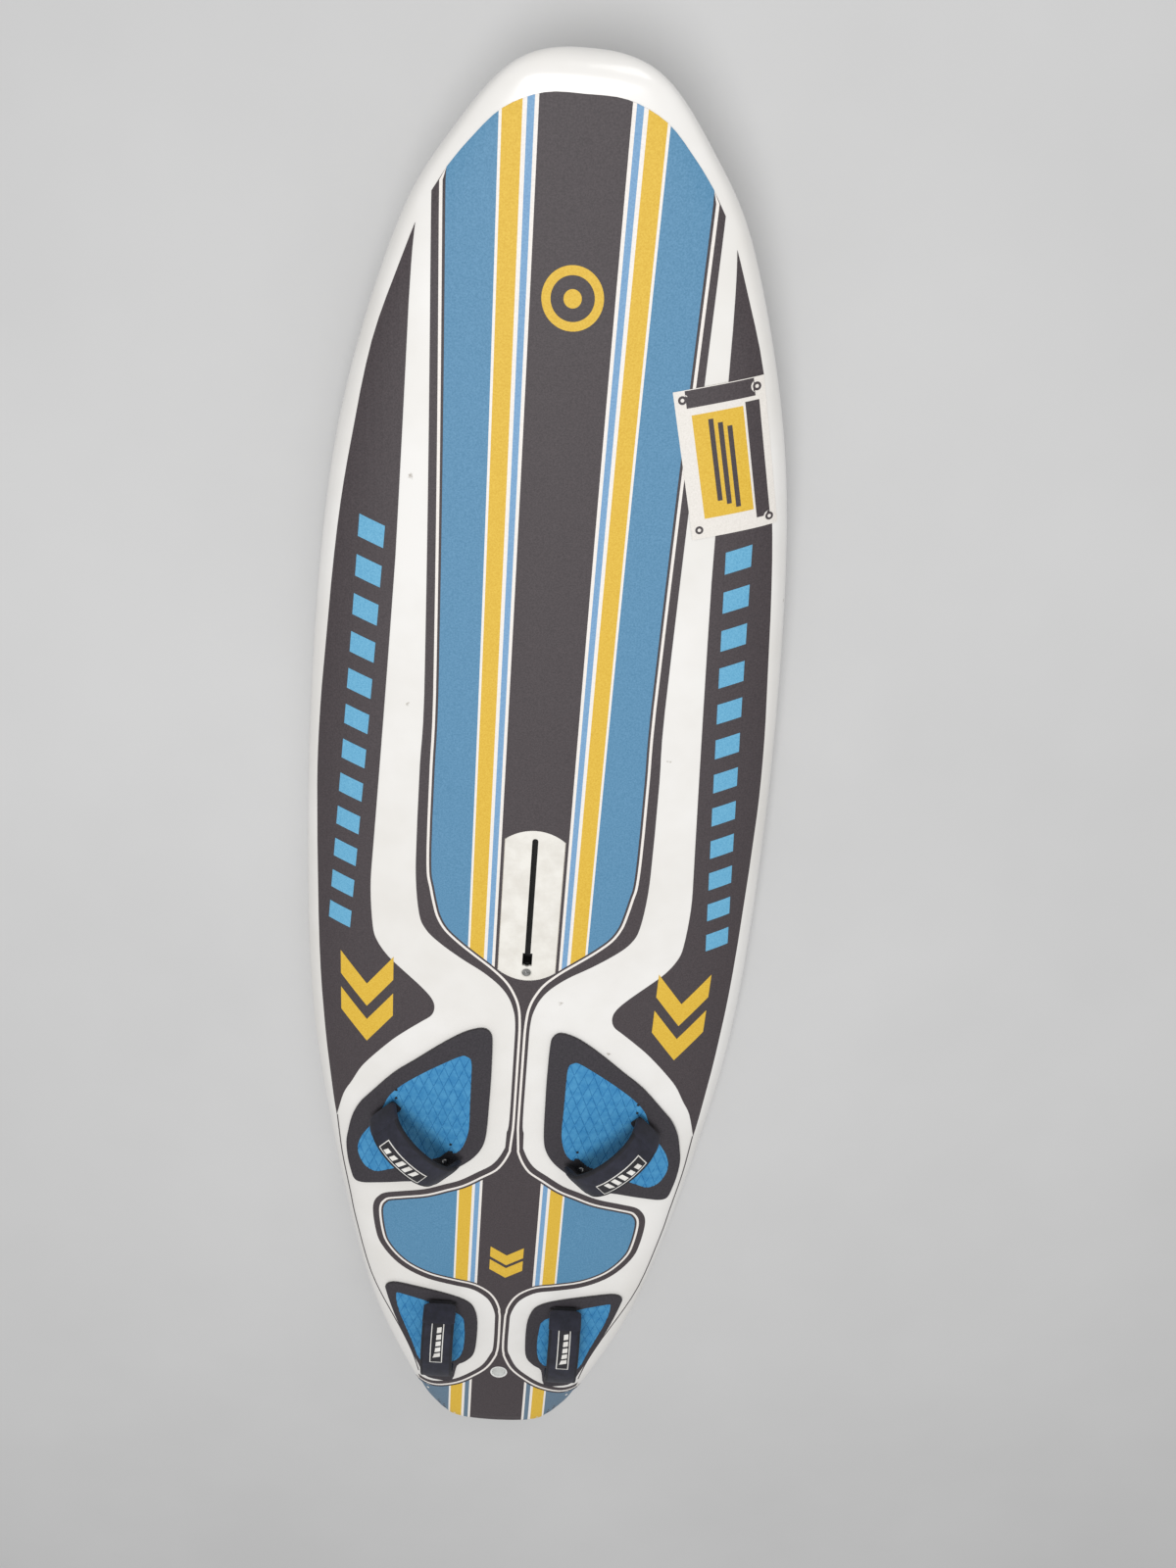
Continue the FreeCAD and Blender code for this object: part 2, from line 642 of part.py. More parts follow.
def foot_cutter(name, start):
    """What is taken off the arch's feet: a shallow V that leaves room for the lean."""
    slope = math.tan(math.radians(size("strap_lean") + size("lean_margin")))
    reach = size("sleeve_width")
    rise = start + slope * reach
    span = size("foot_spacing")
    corners = [V(-span, 0, start), V(-span, reach, rise), V(-span, reach, -span),
               V(-span, -reach, -span), V(-span, -reach, rise), V(-span, 0, start)]
    face = Part.Face(Part.makePolygon(corners))
    return feature(name, face.extrude(V(2 * span, 0, 0)))


half_webbing = "$webbing_height/2"
half_channel = "$webbing_height/2+$free_gap"
half_sleeve = "$webbing_height/2+$sleeve_wall"
screw_top = size("tab_height") + size("washer_height") + size("screw_head_height")
webbing_low = screw_top + size("washer_gap") + size("strap_clearance")
webbing_full = elliptic_band("webbing_band", f"-{half_webbing}", half_webbing,
                             "$webbing_width")
webbing = cut("webbing", webbing_full, foot_cutter("webbing_foot_cutter", webbing_low))
sleeve_full = elliptic_band("sleeve_band", f"-({half_sleeve})", half_sleeve, "$sleeve_width")
channel = elliptic_band("channel_band", f"-({half_channel})", half_channel,
                        "$webbing_width+2*$free_gap")
sleeve_hollow = cut("sleeve_hollow", sleeve_full, channel)
sleeve = cut("sleeve", sleeve_hollow, foot_cutter("sleeve_foot_cutter",
                                                  size("sleeve_start")))
label_full = elliptic_band("label_band", half_sleeve, f"{half_sleeve}+$label_height",
                           "$sleeve_width")


def label_patch(name, low_x, high_x, middle_y):
    """The part of the label band that one woven label covers."""
    window = box(f"{name}_window", f"{low_x}", f"{middle_y} - sizes.label_width/2",
                 sheet_text("$strap_rise/2"), f"{high_x - low_x}",
                 sheet_text("$label_width"), sheet_text("$strap_rise"))
    return common(name, label_full, window)


half_span = size("foot_spacing") / 2
front_label = label_patch("front_label", -0.8 * half_span, 0.8 * half_span, 0)
rear_label = label_patch("rear_label", -half_span, -0.1 * half_span, 0)


def placed(name, source, frame):
    """A copy of a strap piece in the strap's own frame on the board."""
    item = group(name, [source])
    item.Placement = frame
    return item


def standing_turned(name, profile, foot, height):
    """A turned piece that stands on a foot's tab."""
    return turned(name, profile, foot.x, foot.y, foot.z + height)


for strap_name, strap in STRAPS.items():
    frame = strap["frame"]
    node(f"{strap_name}_strap_webbing", placed(f"{strap_name}_webbing", webbing, frame))
    node(f"{strap_name}_strap_sleeve", placed(f"{strap_name}_sleeve", sleeve, frame))
    label_source = front_label if strap_name.startswith("front") else rear_label
    node(f"{strap_name}_strap_label", placed(f"{strap_name}_label", label_source, frame))
    tabs, washers, screws = [], [], []
    heading = math.degrees(math.atan2(frame.Rotation.multVec(V(1, 0, 0)).y,
                                      frame.Rotation.multVec(V(1, 0, 0)).x))
    for number, foot in enumerate(strap["feet"]):
        place = foot["foot"]
        name = f"{strap_name}_{number}"
        half_tab = size("tab_run") / 2
        half_web = size("webbing_width") / 2
        plan = Part.makePolygon([V(-half_tab, -half_web, 0), V(half_tab, -half_web, 0),
                                 V(half_tab, half_web, 0), V(-half_tab, half_web, 0),
                                 V(-half_tab, -half_web, 0)])
        plan.rotate(V(0, 0, 0), V(0, 0, 1), heading)
        plan.translate(V(place.x, place.y, 0))
        tab_prism = prism(f"{name}_tab_prism", plan, THICK / 2, THICK + REACH)
        tab_raised = common(f"{name}_tab_raised", tab_prism, tab_top)
        tab_slab = cut(f"{name}_tab_slab", tab_raised, pad_top)
        tab_hole = cylinder(f"{name}_tab_hole", f"{place.x}", f"{place.y}",
                            f"{place.z - 5}", sheet_text("$pad_hole_radius"), "60")
        tabs.append(cut(f"{name}_tab", tab_slab, tab_hole))
        washer_low = size("pad_height") + size("tab_height") + size("washer_gap")
        shank_radius = size("screw_shank_radius")
        washers.append(standing_turned(
            f"{name}_washer",
            [(shank_radius + size("free_gap"), 0), (size("washer_radius"), 0),
             (size("washer_radius"), size("washer_height")),
             (shank_radius + size("free_gap"), size("washer_height"))],
            place, washer_low))
        head = size("screw_head_height")
        screws.append(standing_turned(
            f"{name}_screw",
            [(0, -size("screw_run")), (shank_radius - 1, -size("screw_run")),
             (shank_radius, 2 - size("screw_run")), (shank_radius, 0),
             (size("screw_head_radius"), 0), (size("screw_head_radius") - 0.8, head * 0.6),
             (size("screw_head_radius") - 2.4, head), (0, head)],
            place, washer_low + size("washer_height")))
    node(f"{strap_name}_end_tabs", group(f"{strap_name}_end_tabs", tabs))
    node(f"{strap_name}_washers", group(f"{strap_name}_washers", washers))
    node(f"{strap_name}_screws", group(f"{strap_name}_screws", screws))


# ---------------------------------------------------------------------------------------------
# Check every object, then write one file per piece
# ---------------------------------------------------------------------------------------------
doc.recompute()
faults = [f"{item.Name}: {item.State}" for item in doc.Objects
          if "Invalid" in item.State or "Error" in item.State]
for name, item in nodes.items():
    if item.Shape.isNull() or not item.Shape.isValid() or not item.Shape.Solids:
        faults.append(f"{name}: empty or not valid")
if faults:
    raise SystemExit("\n".join(faults))

os.makedirs("parts", exist_ok=True)
for name, item in nodes.items():
    item.Shape.exportStep(f"parts/{name}.step")
    solids = item.Shape.Solids
    print(name, len(solids), round(sum(solid.Volume for solid in solids) / 1000, 2), "cm3")
for strap_name, strap in STRAPS.items():
    for foot in strap["feet"]:
        print(strap_name, "foot", [round(value, 2) for value in foot["foot"]])
print("vent", round(vent_y, 2), "slot", round(slot_aft, 2), "fin", round(fin_y, 2), round(fin_top, 2))
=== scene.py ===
import json
import math

import bpy
from mathutils import Matrix, Vector
from mathutils.bvhtree import BVHTree


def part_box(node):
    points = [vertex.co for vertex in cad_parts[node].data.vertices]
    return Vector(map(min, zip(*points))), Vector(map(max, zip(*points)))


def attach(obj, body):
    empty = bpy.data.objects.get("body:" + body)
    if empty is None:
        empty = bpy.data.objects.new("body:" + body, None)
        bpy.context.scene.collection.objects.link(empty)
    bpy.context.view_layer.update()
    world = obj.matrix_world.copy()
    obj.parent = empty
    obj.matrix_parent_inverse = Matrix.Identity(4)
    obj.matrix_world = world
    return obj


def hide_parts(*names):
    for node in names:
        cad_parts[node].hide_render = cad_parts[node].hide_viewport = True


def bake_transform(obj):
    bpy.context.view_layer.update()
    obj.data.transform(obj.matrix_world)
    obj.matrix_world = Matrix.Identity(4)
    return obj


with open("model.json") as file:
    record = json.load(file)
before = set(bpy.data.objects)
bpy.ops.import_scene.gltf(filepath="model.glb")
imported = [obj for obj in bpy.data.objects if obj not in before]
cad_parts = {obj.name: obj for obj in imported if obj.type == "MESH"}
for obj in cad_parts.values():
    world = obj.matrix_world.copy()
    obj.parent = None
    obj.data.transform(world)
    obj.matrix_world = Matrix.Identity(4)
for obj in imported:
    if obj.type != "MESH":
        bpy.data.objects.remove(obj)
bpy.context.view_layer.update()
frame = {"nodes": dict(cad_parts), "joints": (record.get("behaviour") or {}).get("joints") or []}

MM = 0.001

# ---------------------------------------------------------------------------------------------
# Camera: over the nose, looking down the deck towards the tail.
# ---------------------------------------------------------------------------------------------
CAMERA_PLACE = Vector((0.0107, 1.1447, 1.9199))
CAMERA_RIGHT = Vector((0.99684, 0.07941, -0.00013))
CAMERA_AHEAD = Vector((0.03418, -0.43051, -0.90194))
FOCAL_SHARE = 1250 / 1600      # focal length over the picture's height

camera_data = bpy.data.cameras.new("camera")
camera_data.sensor_fit = "VERTICAL"
camera_data.sensor_height = 36
camera_data.lens = 36 * FOCAL_SHARE
camera_data.clip_end = 120
camera_data.dof.use_dof = False
camera = bpy.data.objects.new("camera", camera_data)
bpy.context.scene.collection.objects.link(camera)
camera_up = CAMERA_RIGHT.cross(CAMERA_AHEAD).normalized()
camera.matrix_world = Matrix.Translation(CAMERA_PLACE) @ Matrix(
    (CAMERA_RIGHT, camera_up, -CAMERA_AHEAD)).transposed().to_4x4()
bpy.context.scene.camera = camera


# ---------------------------------------------------------------------------------------------
# Board skin: one painted glass-laminate shell from rail to rail, glossy white under the print.
# It is moulded over the foam core and cut out for the mast track plate, the bolt cup and the
# fin box.
# ---------------------------------------------------------------------------------------------
BOARD_LENGTH = 2610
BOARD_WIDTH = 790
BOARD_THICKNESS = 125
OUTLINE = [(0, 0), (0.094, 0.0032), (0.150, 0.0115), (0.2125, 0.0352), (0.268, 0.0686),
           (0.349, 0.135), (0.406, 0.214), (0.4595, 0.3165), (0.491, 0.401), (0.5, 0.498),
           (0.487, 0.626), (0.4485, 0.7517), (0.3915, 0.8395), (0.295, 0.9218),
           (0.205, 0.9640), (0.110, 0.9930), (0, 1)]
RAIL = [(0.93, 0), (0.985, 0.13), (1, 0.36), (0.975, 0.60), (0.90, 0.80), (0.72, 0.93),
        (0.40, 0.985), (0, 1)]
RAIL_LINE = 0.36
END_ROUNDING = 42
NOSE_SCOOP = 205           # rise of the bottom at the nose, mm
BOTTOM_TRIM = 0.6          # cut off below, so that the bottom lies flat, mm
BOTTOM_FLAT = 0.5          # share of the length, from the tail, with a flat bottom
DECK_SCOOP = 140           # rise of the deck at the nose, mm
DECK_FLAT = 0.47           # share of the length, from the tail, before the deck rises
TAIL_THINNING = 22         # how much thinner the tail end is, mm
TAIL_THINNING_RUN = 700    # over this much of the tail, mm


def smooth_line(points, steps, closed=False):
    """A Catmull-Rom curve through points, as a list with some steps between each pair."""
    count = len(points)
    line = []
    for index in range(count if closed else count - 1):
        if closed:
            near = [points[(index + shift) % count] for shift in (-1, 0, 1, 2)]
        else:
            near = [points[min(max(index + shift, 0), count - 1)] for shift in (-1, 0, 1, 2)]
        p0, p1, p2, p3 = (Vector(p) for p in near)
        for step in range(steps):
            t = step / steps
            line.append(0.5 * (2 * p1 + (p2 - p0) * t + (2 * p0 - 5 * p1 + 4 * p2 - p3) * t * t
                               + (3 * p1 - p0 - 3 * p2 + p3) * t * t * t))
    if not closed:
        line.append(Vector(points[-1]))
    return line


def even_steps(line, count):
    """Points at equal distances along a line."""
    lengths = [0]
    for start, end in zip(line, line[1:]):
        lengths.append(lengths[-1] + (end - start).length)
    result = []
    index = 0
    for step in range(count + 1):
        want = lengths[-1] * step / count
        while index < len(line) - 2 and lengths[index + 1] < want:
            index += 1
        share = (want - lengths[index]) / max(lengths[index + 1] - lengths[index], 1e-9)
        result.append(line[index].lerp(line[index + 1], min(share, 1)))
    return result


outline_points = [(share * BOARD_WIDTH, run * BOARD_LENGTH) for share, run in OUTLINE]
port_points = [(-x, y) for x, y in reversed(outline_points[1:-1])]
whole_outline = smooth_line(outline_points + port_points, 24, closed=True)
half_outline = whole_outline[:24 * (len(OUTLINE) - 1) + 1]


def bottom_height(from_tail):
    share = max(0, from_tail / BOARD_LENGTH - BOTTOM_FLAT) / (1 - BOTTOM_FLAT)
    return NOSE_SCOOP * share ** 2.5 - BOTTOM_TRIM


def top_height(from_tail):
    share = max(0, from_tail / BOARD_LENGTH - DECK_FLAT) / (1 - DECK_FLAT)
    thinning = max(0, 1 - from_tail / TAIL_THINNING_RUN)
    return BOARD_THICKNESS + DECK_SCOOP * share ** 2.6 - TAIL_THINNING * thinning ** 2


def deselect_all():
    if bpy.context.mode != "OBJECT":
        bpy.ops.object.mode_set(mode="OBJECT")
    bpy.ops.object.select_all(action="DESELECT")


def pick(item):
    """Make one object the active and only selected one."""
    deselect_all()
    item.select_set(True)
    bpy.context.view_layer.objects.active = item


def apply_all(item):
    """Apply every modifier of an object."""
    pick(item)
    for modifier in list(item.modifiers):
        bpy.ops.object.modifier_apply(modifier=modifier.name)


SKIN_ROWS = 260
RAIL_STEPS = 10
rail_side = smooth_line(RAIL, RAIL_STEPS)
bottom_side = [Vector((0.93 - 0.155 * step, 0)) for step in range(1, 6)]
half_ring = list(reversed(bottom_side)) + rail_side
ring = half_ring + [Vector((-p.x, p.y)) for p in reversed(half_ring[:-1])]
ring = ring + [Vector((0, 0)), ring[0].copy()]
stations = even_steps(half_outline, SKIN_ROWS)

deselect_all()
bpy.ops.mesh.primitive_grid_add(x_subdivisions=len(ring) - 1, y_subdivisions=SKIN_ROWS, size=2)
skin = bpy.context.active_object
skin.name = "board_skin"
for vertex in skin.data.vertices:
    across = ring[round((vertex.co.x + 1) / 2 * (len(ring) - 1))]
    station = stations[round((vertex.co.y + 1) / 2 * SKIN_ROWS)]
    low = bottom_height(station.y)
    high = top_height(station.y)
    rail_height = low + RAIL_LINE * (high - low)
    to_end = min(station.y, BOARD_LENGTH - station.y)
    left = math.sqrt(max(0, 1 - max(0, 1 - to_end / END_ROUNDING) ** 2))
    height = low + across.y * (high - low)
    height = rail_height + (height - rail_height) * left
    vertex.co = Vector((across.x * station.x, station.y - BOARD_LENGTH / 2,
                        max(height, 0))) * MM
pick(skin)
bpy.ops.object.mode_set(mode="EDIT")
bpy.ops.mesh.select_all(action="SELECT")
bpy.ops.mesh.remove_doubles(threshold=0.00002)
bpy.ops.mesh.normals_make_consistent(inside=False)
bpy.ops.object.mode_set(mode="OBJECT")
skin_tree = BVHTree.FromObject(skin, bpy.context.evaluated_depsgraph_get())


def deck_and_slope(x, y):
    """The deck's height and how upright its normal is, over a plan place in metres."""
    hit, normal = skin_tree.ray_cast(Vector((x, y, 1)), Vector((0, 0, -1)))[:2]
    if hit is None:
        hit, normal = skin_tree.find_nearest(Vector((x, y, 0.1)))[:2]
    return hit.z, max(abs(normal.z), 0.3)


def deck_at(x, y):
    """The deck's height in metres over a plan place in metres."""
    return deck_and_slope(x, y)[0]


def plan_mesh(name, loops):
    """A flat filled mesh in the ground plane from closed loops of (x, y) in mm."""
    data = bpy.data.curves.new(name, "CURVE")
    data.dimensions = "2D"
    data.fill_mode = "BOTH"
    for loop in loops:
        line = data.splines.new("POLY")
        line.points.add(len(loop) - 1)
        for point, place in zip(line.points, loop):
            point.co = (place[0] * MM, place[1] * MM, 0, 1)
        line.use_cyclic_u = True
    item = bpy.data.objects.new(name, data)
    bpy.context.scene.collection.objects.link(item)
    pick(item)
    bpy.ops.object.convert(target="MESH")
    item = bpy.context.active_object
    bpy.ops.object.mode_set(mode="EDIT")
    bpy.ops.mesh.select_all(action="SELECT")
    bpy.ops.mesh.remove_doubles(threshold=0.000005)
    bpy.ops.mesh.dissolve_limited(angle_limit=0.01)
    bpy.ops.object.mode_set(mode="OBJECT")
    return item


def cutter(name, loop, low, high):
    """An upright closed solid over a plan loop, from low to high in metres."""
    item = plan_mesh(name, [loop])
    bpy.ops.object.mode_set(mode="EDIT")
    bpy.ops.mesh.select_all(action="SELECT")
    bpy.ops.transform.translate(value=(0, 0, low))
    bpy.ops.mesh.extrude_region_move(TRANSFORM_OT_translate={"value": (0, 0, high - low)})
    bpy.ops.mesh.select_all(action="SELECT")
    bpy.ops.mesh.normals_make_consistent(inside=False)
    bpy.ops.object.mode_set(mode="OBJECT")
    return item


def cut_away(item, tool):
    """Take one solid out of another and delete the tool."""
    boolean = item.modifiers.new("cut", "BOOLEAN")
    boolean.operation = "DIFFERENCE"
    boolean.solver = "EXACT"
    boolean.object = tool
    apply_all(item)
    bpy.data.objects.remove(tool)


def bowed_plate(box, gap, bow):
    """The track plate's plan: straight sides and bowed ends, in mm."""
    low, high = (corner / MM for corner in box)
    half = high.x + gap
    loop = []
    for end, side in ((high.y + gap, 1), (low.y - gap, -1)):
        corner = end - side * bow
        for step in range(13):
            x = half * (1 - step / 6)
            loop.append((side * x, corner + side * bow * (1 - (x / half) ** 2)))
    return loop


def round_loop(x, y, radius, count=32):
    return [(x + radius * math.cos(math.tau * step / count),
             y + radius * math.sin(math.tau * step / count)) for step in range(count)]


def round_bar(box, gap):
    """A bar along Y with round ends over a CAD box, in mm."""
    low, high = (corner / MM for corner in box)
    radius = high.x + gap
    loop = []
    for end, side in ((high.y + gap - radius, 1), (low.y - gap + radius, -1)):
        for step in range(13):
            turn = math.pi * step / 12
            loop.append((side * radius * math.cos(turn), end + side * radius * math.sin(turn)))
    return loop


TRACK_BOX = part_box("mast_track_box")
CUP_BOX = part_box("fin_bolt_cup")
cup_middle = (CUP_BOX[0] + CUP_BOX[1]) / 2 / MM
cut_away(skin, cutter("plate_tool", bowed_plate(TRACK_BOX, 0.5, 19), 0.080, 0.3))
cut_away(skin, cutter("cup_tool", round_loop(cup_middle.x, cup_middle.y, 17.2), 0.080, 0.3))
cut_away(skin, cutter("fin_tool", round_bar(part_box("fin_box"), 0.4), -0.05, 0.070))


def linear(hex_colour, alpha=1.0):
    """A linear RGBA colour from an sRGB hex value."""
    channels = [int(hex_colour[start:start + 2], 16) / 255 for start in (1, 3, 5)]
    return tuple(c / 12.92 if c <= 0.04045 else ((c + 0.055) / 1.055) ** 2.4
                 for c in channels) + (alpha,)


def add_node(tree, kind, settings=None, inputs=None):
    """One shader node with its settings and its inputs, each a value or another's output."""
    made = tree.nodes.new(kind)
    for name, value in (settings or {}).items():
        setattr(made, name, value)
    for name, value in (inputs or {}).items():
        if isinstance(value, bpy.types.NodeSocket):
            tree.links.new(value, made.inputs[name])
        else:
            made.inputs[name].default_value = value
    return made


def new_material(name):
    """An empty material with its shader, and the object coordinates to place patterns by."""
    item = bpy.data.materials.new(name)
    item.use_nodes = True
    tree = item.node_tree
    tree.nodes.clear()
    shader = add_node(tree, "ShaderNodeBsdfPrincipled")
    add_node(tree, "ShaderNodeOutputMaterial", inputs={"Surface": shader.outputs[0]})
    place = add_node(tree, "ShaderNodeTexCoord").outputs["Object"]
    return item, tree, shader, place


def two_tone(tree, place, size_mm, low, high, detail=4.0, spread=(0.35, 0.65)):
    """A soft cloudy mix of two colours with patches of a real size."""
    noise = add_node(tree, "ShaderNodeTexNoise", inputs={
        "Vector": place, "Scale": 1000 / size_mm, "Detail": detail, "Roughness": 0.6})
    ramp = add_node(tree, "ShaderNodeValToRGB", inputs={"Fac": noise.outputs["Fac"]})
    ramp.color_ramp.elements[0].position = spread[0]
    ramp.color_ramp.elements[0].color = low
    ramp.color_ramp.elements[1].position = spread[1]
    ramp.color_ramp.elements[1].color = high
    return ramp.outputs["Color"]


def rough_relief(tree, place, size_mm, depth_mm, strength=1.0):
    """Bump from noise of a real grain size."""
    noise = add_node(tree, "ShaderNodeTexNoise", inputs={
        "Vector": place, "Scale": 1000 / size_mm, "Detail": 3.0})
    return add_node(tree, "ShaderNodeBump", inputs={
        "Height": noise.outputs["Fac"], "Distance": depth_mm * MM,
        "Strength": strength}).outputs["Normal"]


def grit_paint(name, hex_low, hex_high, roughness=0.55):
    """Non-skid deck paint: colour sprayed over fine grit, matt, with faint specks.
    The grit is drawn at 2.5 mm, coarser than real, so that it shows."""
    item, tree, shader, place = new_material(name)
    colour = two_tone(tree, place, 2.5, linear(hex_low), linear(hex_high))
    tree.links.new(colour, shader.inputs["Base Color"])
    shader.inputs["Roughness"].default_value = roughness
    tree.links.new(rough_relief(tree, place, 1.8, 0.25, 0.6), shader.inputs["Normal"])
    return item


def gloss_paint(name, hex_low, hex_high):
    """Two-part polyurethane paint, sprayed and polished: clear gloss, broad faint clouds."""
    item, tree, shader, place = new_material(name)
    colour = two_tone(tree, place, 260, linear(hex_low), linear(hex_high))
    tree.links.new(colour, shader.inputs["Base Color"])
    shader.inputs["Roughness"].default_value = 0.28
    shader.inputs["Coat Weight"].default_value = 0.5
    shader.inputs["Coat Roughness"].default_value = 0.12
    tree.links.new(rough_relief(tree, place, 90, 0.5, 0.15), shader.inputs["Normal"])
    return item


def dress(item, *materials):
    item.data.materials.clear()
    for material in materials:
        item.data.materials.append(material)


def smooth_shade(item, degrees=35):
    pick(item)
    bpy.ops.object.shade_smooth_by_angle(angle=math.radians(degrees))


gloss_white = gloss_paint("gloss_white_paint", "#e9e6e1", "#f3f1ee")
# Small grey scuffs and chips, a few to a square metre, where the shell has been knocked.
tree = gloss_white.node_tree
shader = next(node for node in tree.nodes if node.type == "BSDF_PRINCIPLED")
place = add_node(tree, "ShaderNodeTexCoord").outputs["Object"]
clean = shader.inputs["Base Color"].links[0].from_socket
marks = add_node(tree, "ShaderNodeTexVoronoi", inputs={"Vector": place, "Scale": 11.0})
ragged = add_node(tree, "ShaderNodeTexNoise", inputs={
    "Vector": place, "Scale": 160.0, "Detail": 5.0})
size_of_mark = add_node(tree, "ShaderNodeMath", {"operation": "MULTIPLY_ADD"})
tree.links.new(ragged.outputs["Fac"], size_of_mark.inputs[0])
size_of_mark.inputs[1].default_value = 0.16
tree.links.new(marks.outputs["Distance"], size_of_mark.inputs[2])
edge_of_mark = add_node(tree, "ShaderNodeMapRange", inputs={
    "Value": size_of_mark.outputs[0], "From Min": 0.095, "From Max": 0.125})
scuffed = add_node(tree, "ShaderNodeMix", {"data_type": "RGBA"})
tree.links.new(edge_of_mark.outputs["Result"], scuffed.inputs["Factor"])
scuffed.inputs[6].default_value = linear("#b9b3aa")
tree.links.new(clean, scuffed.inputs[7])
tree.links.new(scuffed.outputs[2], shader.inputs["Base Color"])
dress(skin, gloss_white)
smooth_shade(skin, 32)
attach(skin, "board")
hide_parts("deck_laminate", "hull_laminate")


# ---------------------------------------------------------------------------------------------
# Deck print: matt non-skid paint in crisp colour fields over the white, each field a film of
# its own with a clean masked edge. Starboard outlines run from the nose to the tail.
# ---------------------------------------------------------------------------------------------
FILM = 0.3                 # film thickness, mm
FILM_LIFT = 0.5            # top of the first film over the skin, mm
LAYER_STEP = 0.18          # each later film lies this much higher, mm
CELL = 12                  # films are cut into cells of this size to follow the deck, mm
PRINT_FRONT = [(0, 1255), (50, 1253), (100, 1233), (141, 1195), (167, 1165)]
BAND_EDGE = [(186, 1137), (188, 800), (189, 426), (194, 301), (197, 175), (197, 88), (190, 18),
             (178, -12), (155, -36), (115, -66), (75, -92), (46, -117), (29, -140), (19, -165),
             (14, -192), (12.5, -245), (12.5, -415), (16, -448)]
LOWER_EDGE = [(17, -485), (27, -510), (42, -532), (67, -551), (99, -574), (130, -588),
              (167, -604), (212, -615), (243, -624), (257, -636), (266, -654), (268, -680),
              (263, -725), (254, -759), (231, -794), (200, -822), (156, -844), (105, -856),
              (67, -864), (42, -880), (27, -899), (17, -928), (15, -954), (15, -1033),
              (21, -1059), (36, -1093), (61, -1120), (93, -1145), (131, -1160), (157, -1161),
              (172, -1155)]
PIN_EDGE = [(176, 1150), (175, 800), (175, 426), (178, 301), (180, 176), (179, 104), (174, 74),
            (167, 39), (160, 14), (146, -11), (121, -36), (92, -60), (61, -85), (36, -110),
            (21, -135), (12, -160), (8, -191), (6.6, -245), (6.6, -415), (7.5, -448)]
TAIL_RIM = [(163, -1184), (149, -1220), (133, -1247), (116, -1267), (90, -1285), (55, -1294),
            (0, -1297)]
PIN_WIDTH = 4.4
INNER_LINE = 3.8


def inboard(line, amounts):
    """A line moved to its right-hand side, by one amount or one for each point."""
    if not isinstance(amounts, list):
        amounts = [amounts] * len(line)
    moved = []
    for index, point in enumerate(line):
        ahead = line[min(index + 1, len(line) - 1)] - line[max(index - 1, 0)]
        ahead.normalize()
        moved.append(Vector((point.x + ahead.y * amounts[index],
                             point.y - ahead.x * amounts[index])))
    return moved


lower_line = smooth_line(LOWER_EDGE, 4)
lower_inset = [9 + 3.5 * min(1, max(0, (point.x - 17) / 25)) - (1.5 if point.x < 17.5 else 0)
               for point in lower_line]
lower_inset = [min(amount, 9.5) if point.y < -1040 else amount
               for amount, point in zip(lower_inset, lower_line)]
pin_line = smooth_line(PIN_EDGE, 4) + inboard(lower_line, lower_inset)
dark_line = inboard(pin_line, PIN_WIDTH)
panel_line = inboard(dark_line, INNER_LINE)
band_line = smooth_line(BAND_EDGE, 4) + lower_line
front_line = smooth_line(PRINT_FRONT, 4)
tail_line = smooth_line(TAIL_RIM, 4)


def face_up(item):
    """Make an open sheet's faces agree and point upwards."""
    pick(item)
    bpy.ops.object.mode_set(mode="EDIT")
    bpy.ops.mesh.select_all(action="SELECT")
    bpy.ops.mesh.normals_make_consistent(inside=False)
    bpy.ops.object.mode_set(mode="OBJECT")
    if sum(face.normal.z for face in item.data.polygons) < 0:
        bpy.ops.object.mode_set(mode="EDIT")
        bpy.ops.mesh.flip_normals()
        bpy.ops.object.mode_set(mode="OBJECT")


def film(name, loops, layer, material, strip=None, mirror=True):
    """A thin painted field on the deck: starboard loops in mm, mirrored to port. A strip keeps
    only what lies between two distances from the centre line."""
    item = plan_mesh(name, loops)
    bpy.ops.object.mode_set(mode="EDIT")
    if strip:
        for edge, clear in ((strip[0], "clear_inner"), (strip[1], "clear_outer")):
            bpy.ops.mesh.select_all(action="SELECT")
            bpy.ops.mesh.bisect(plane_co=(edge * MM, 0, 0), plane_no=(1, 0, 0),
                                **{clear: True})
    for index, normal in enumerate(((1, 0, 0), (0, 1, 0))):
        values = [place[index] for loop in loops for place in loop]
        for step in range(math.ceil(min(values) / CELL), math.ceil(max(values) / CELL)):
            if strip and index == 0 and not strip[0] < step * CELL < strip[1]:
                continue
            bpy.ops.mesh.select_all(action="SELECT")
            bpy.ops.mesh.bisect(plane_co=Vector(normal) * step * CELL * MM, plane_no=normal)
    bpy.ops.mesh.select_all(action="SELECT")
    bpy.ops.mesh.remove_doubles(threshold=0.00002)
    bpy.ops.object.mode_set(mode="OBJECT")
    lift = (FILM_LIFT + layer * LAYER_STEP) * MM
    for vertex in item.data.vertices:
        height, upright = deck_and_slope(vertex.co.x, vertex.co.y)
        vertex.co.z = height + lift / upright
    face_up(item)
    if mirror:
        twin = item.modifiers.new("mirror", "MIRROR")
        twin.use_mirror_merge = True
        twin.merge_threshold = 0.00005
    wall = item.modifiers.new("wall", "SOLIDIFY")
    wall.thickness = FILM * MM
    wall.offset = -1
    apply_all(item)
    dress(item, material)
    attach(item, "board")
    return item


